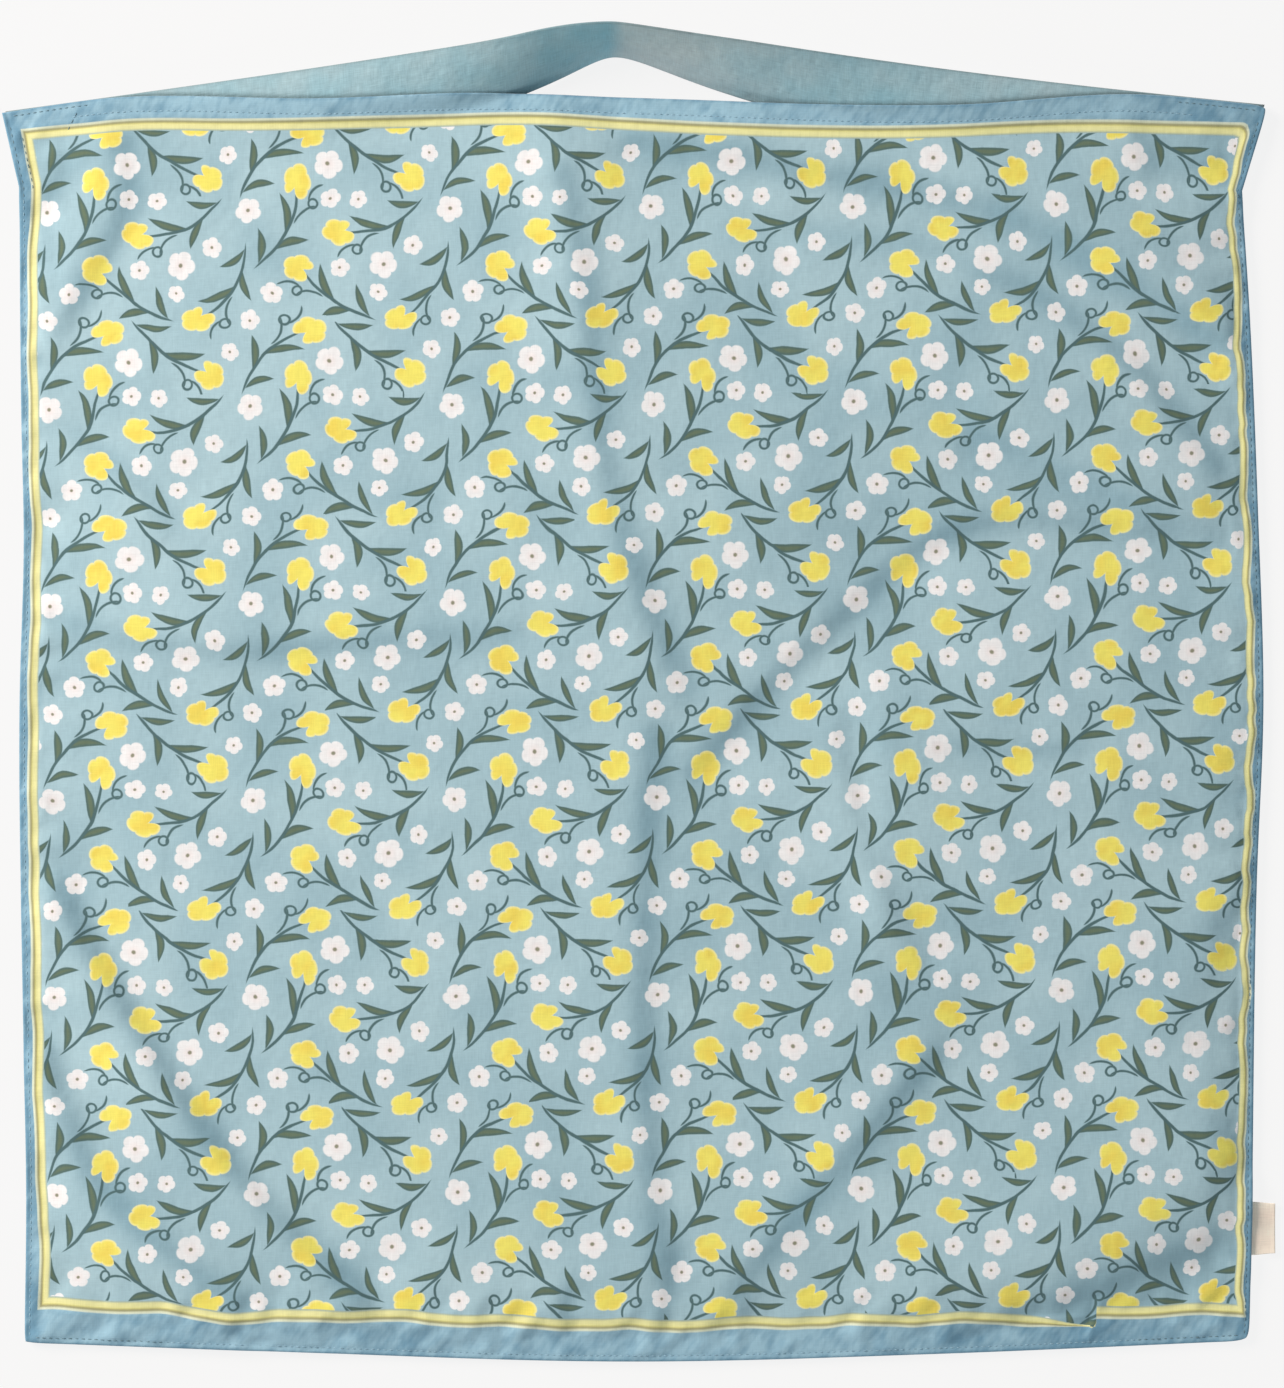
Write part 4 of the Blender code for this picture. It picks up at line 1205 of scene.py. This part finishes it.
# one row: stations at equal steps along a path of (across, up) shares, each carrying the
# spindle r(s) = sqrt(1 - s s) about the row's own direction
def stitchRow(surface, path, face=1.0):
    c = stitching
    path = np.array(path, dtype=float)
    t = np.linspace(0.0, 1.0, 900)
    at = np.linspace(0.0, 1.0, len(path))
    a, u = np.interp(t, at, path[:, 0]), np.interp(t, at, path[:, 1])
    x, y, _, _ = surface(a, u)
    runs = runsAlong(np.stack((x, y), -1))
    count = int(runs[-1] / c["pitch"])
    centre = (np.arange(count) + 0.5) * runs[-1] / count

    def spot(distance):
        x, y, z, thick = surface(np.interp(distance, runs, a), np.interp(distance, runs, u))
        return np.stack((x, y, z), -1), thick

    middle, thick = spot(centre)
    if face < 0:
        middle[:, 2] -= 0.5 * thick
    way = unit(spot(centre + 0.4 * c["length"])[0] - spot(centre - 0.4 * c["length"])[0])
    side = unit(np.cross(face * upright, way))
    upward = np.cross(way, side)
    s = np.array((-1.0, -0.72, 0.0, 0.72, 1.0))
    turns = np.linspace(0.0, 2.0 * np.pi, c["sides"], endpoint=False)
    ringS, ringTurn = [g.ravel() for g in np.meshgrid(s[1:-1], turns, indexing="ij")]
    s = np.concatenate((s[:1], ringS, s[-1:]))
    radius = 0.5 * c["width"] * np.sqrt(np.clip(1.0 - s * s, 0.0, 1.0))
    turns = np.concatenate(([0.0], ringTurn, [0.0]))
    alongWay = 0.5 * c["length"] * s
    sideways = radius * np.cos(turns)
    height = 0.7 * radius * np.sin(turns) + c["rise"] * (1.0 - s * s) - c["sink"] * s * s
    points = (
        middle[:, None] + way[:, None] * alongWay[:, None]
        + side[:, None] * sideways[:, None] + upward[:, None] * height[:, None]
    )
    k = 1 + np.arange(c["sides"])
    n = np.roll(k, -1)
    rings = [(k + ring, n + ring) for ring in c["sides"] * np.arange(3)]
    fan = np.stack((0 * k, n, k), -1)
    bands = [np.stack((k0, n0, n1), -1) for (k0, n0), (k1, n1) in zip(rings, rings[1:])]
    bands += [np.stack((k0, n1, k1), -1) for (k0, n0), (k1, n1) in zip(rings, rings[1:])]
    cap = np.stack((*rings[-1], 0 * k + len(s) - 1), -1)
    faces = np.concatenate((fan, *bands, cap)) + len(s) * np.arange(count)[:, None, None]
    return points.reshape(-1, 3), faces.reshape(-1, 3), count


def makeStitches(name, surface, rows, material, face=1.0):
    points, faces, used, total = [], [], 0, 0
    for path in rows:
        rowPoints, rowFaces, count = stitchRow(surface, path, face)
        points.append(rowPoints)
        faces.append(rowFaces + used)
        used, total = used + len(rowPoints), total + count
    faces = np.concatenate(faces)
    if face < 0:
        faces = faces[:, ::-1]
    piece = addPiece(name, place(np.concatenate(points)), faces, (material,))
    print(name + ":", total, "stitches")
    return piece


def threadMaterial(name, pale, deep):
    material, tree, shader = newMaterial(name, {"Roughness": 0.6, "Sheen Weight": 0.15})
    spot = tree.nodes.new("ShaderNodeTexCoord").outputs["Object"]
    twist = noise(tree, vectors(tree, "MULTIPLY", spot, (900.0, 900.0, 900.0)), detail=1.0)
    share = scaled(tree, twist, 1.6, -0.3, clamp=True)
    tree.links.new(mixColour(tree, share, deep, pale), shader.inputs["Base Color"])
    return material


front, back, band, tape = makeFront(), makeBack(), makeStrap(), makeLabel()

c = frontCloth
seam, foot = c["seamRow"] / c["width"], c["footRow"] / c["height"]
hemUp = 1.0 - c["hemRow"] / c["height"]
edgeUp = 1.0 - 0.0026 / c["height"]
cornerIn, hemStart, hemEnd, paleTop, wingTop = 2 * seam, 0.11, 0.91, 0.925, 0.988
mouthRow = ((0.056, hemUp), (0.5, hemUp), (0.944, hemUp))
rightRow = ((1.0 - seam, foot), (1.0 - seam, 0.5), (1.0 - seam, wingTop))
hemRows = [
    ((hemStart, foot), (0.5, foot), (hemEnd, foot)), mouthRow,
    ((seam, foot), (seam, 0.5), (seam, paleTop)),
]
darkRows = [
    rightRow,
    ((cornerIn, foot), (hemStart, foot)),
    ((hemEnd, foot), (1.0 - cornerIn, foot)),
    ((seam, paleTop), (seam, wingTop)),
    ((0.008, edgeUp), (0.072, edgeUp)),
    ((0.992, edgeUp), (0.928, edgeUp)),
    ((0.062, edgeUp - 0.004), (0.050, 0.976)),
    ((0.012, 0.978), (0.012, 0.931)),
]
backRows = [
    ((cornerIn, foot), (0.5, foot), (1.0 - cornerIn, foot)),
    mouthRow, ((seam, foot), (seam, 0.5), (seam, wingTop)), rightRow,
]
paleThread = threadMaterial("paleThread", dyes["thread"], dyes["threadDeep"])
darkThread = threadMaterial("darkThread", dyes["sideThread"], dyes["strapEdge"])
hemStitches = makeStitches("hemStitches", frontSurface, hemRows, paleThread)
sideStitches = makeStitches("sideStitches", frontSurface, darkRows, darkThread)
backStitches = makeStitches("backStitches", backSurface, backRows, paleThread, -1.0)


# Studio: a camera straight above, a soft key from the upper left and an even pale room.
studio = dict(
    height=2.4,
    centre=(0.0010, 0.0010),
    field=0.694,  # metres of the table that the picture's height takes in
    lamps=dict(
        key=((-2.45, 1.38, 1.54), 1.5, 158.0),  # from, size across, power
        fill=((0.30, -2.50, 1.00), 1.2, 14.0),
    ),
    room=0.335,
    tableGrey=0.07,
    tableGlow=0.855,
)


def makeStudio():
    scene = bpy.context.scene
    camera = addObject("camera", bpy.data.cameras.new("camera"))
    camera.location = (*studio["centre"], studio["height"])
    camera.data.sensor_fit = "VERTICAL"
    camera.data.angle = 2.0 * np.arctan(0.5 * studio["field"] / studio["height"])
    camera.data.clip_end = 50.0
    scene.camera = camera

    for name, (origin, size, power) in studio["lamps"].items():
        lamp = bpy.data.lights.new(name, "AREA")
        lamp.shape, lamp.size, lamp.energy = "DISK", size, power
        lamp.color = (1.0, 0.87, 0.79)
        light = addObject(name, lamp)
        light.location = origin
        aim = -unit(np.array(origin))
        light.rotation_euler = (np.arccos(-aim[2]), 0.0, np.arctan2(aim[1], aim[0]) - np.pi / 2)

    world = bpy.data.worlds.new("room")
    world.use_nodes = True
    world.node_tree.nodes["Background"].inputs["Color"].default_value = (0.87, 0.985, 1.03, 1.0)
    world.node_tree.nodes["Background"].inputs["Strength"].default_value = studio["room"]
    scene.world = world

    mesh = bpy.data.meshes.new("table")
    corners = [(x, y, -0.0004) for x, y in ((-4, -4), (4, -4), (4, 4), (-4, 4))]
    mesh.from_pydata(corners, [], [(0, 1, 2, 3)])
    table = addObject("table", mesh)
    mesh.materials.append(newMaterial("tablePaper", {
        "Base Color": (*[studio["tableGrey"]] * 3, 1.0), "Roughness": 0.9, "Specular IOR Level": 0.0,
        "Emission Color": (1.0, 1.0, 1.0, 1.0), "Emission Strength": studio["tableGlow"],
    })[0])
    scene.view_settings.view_transform = "Standard"


makeStudio()
print("studio ready")
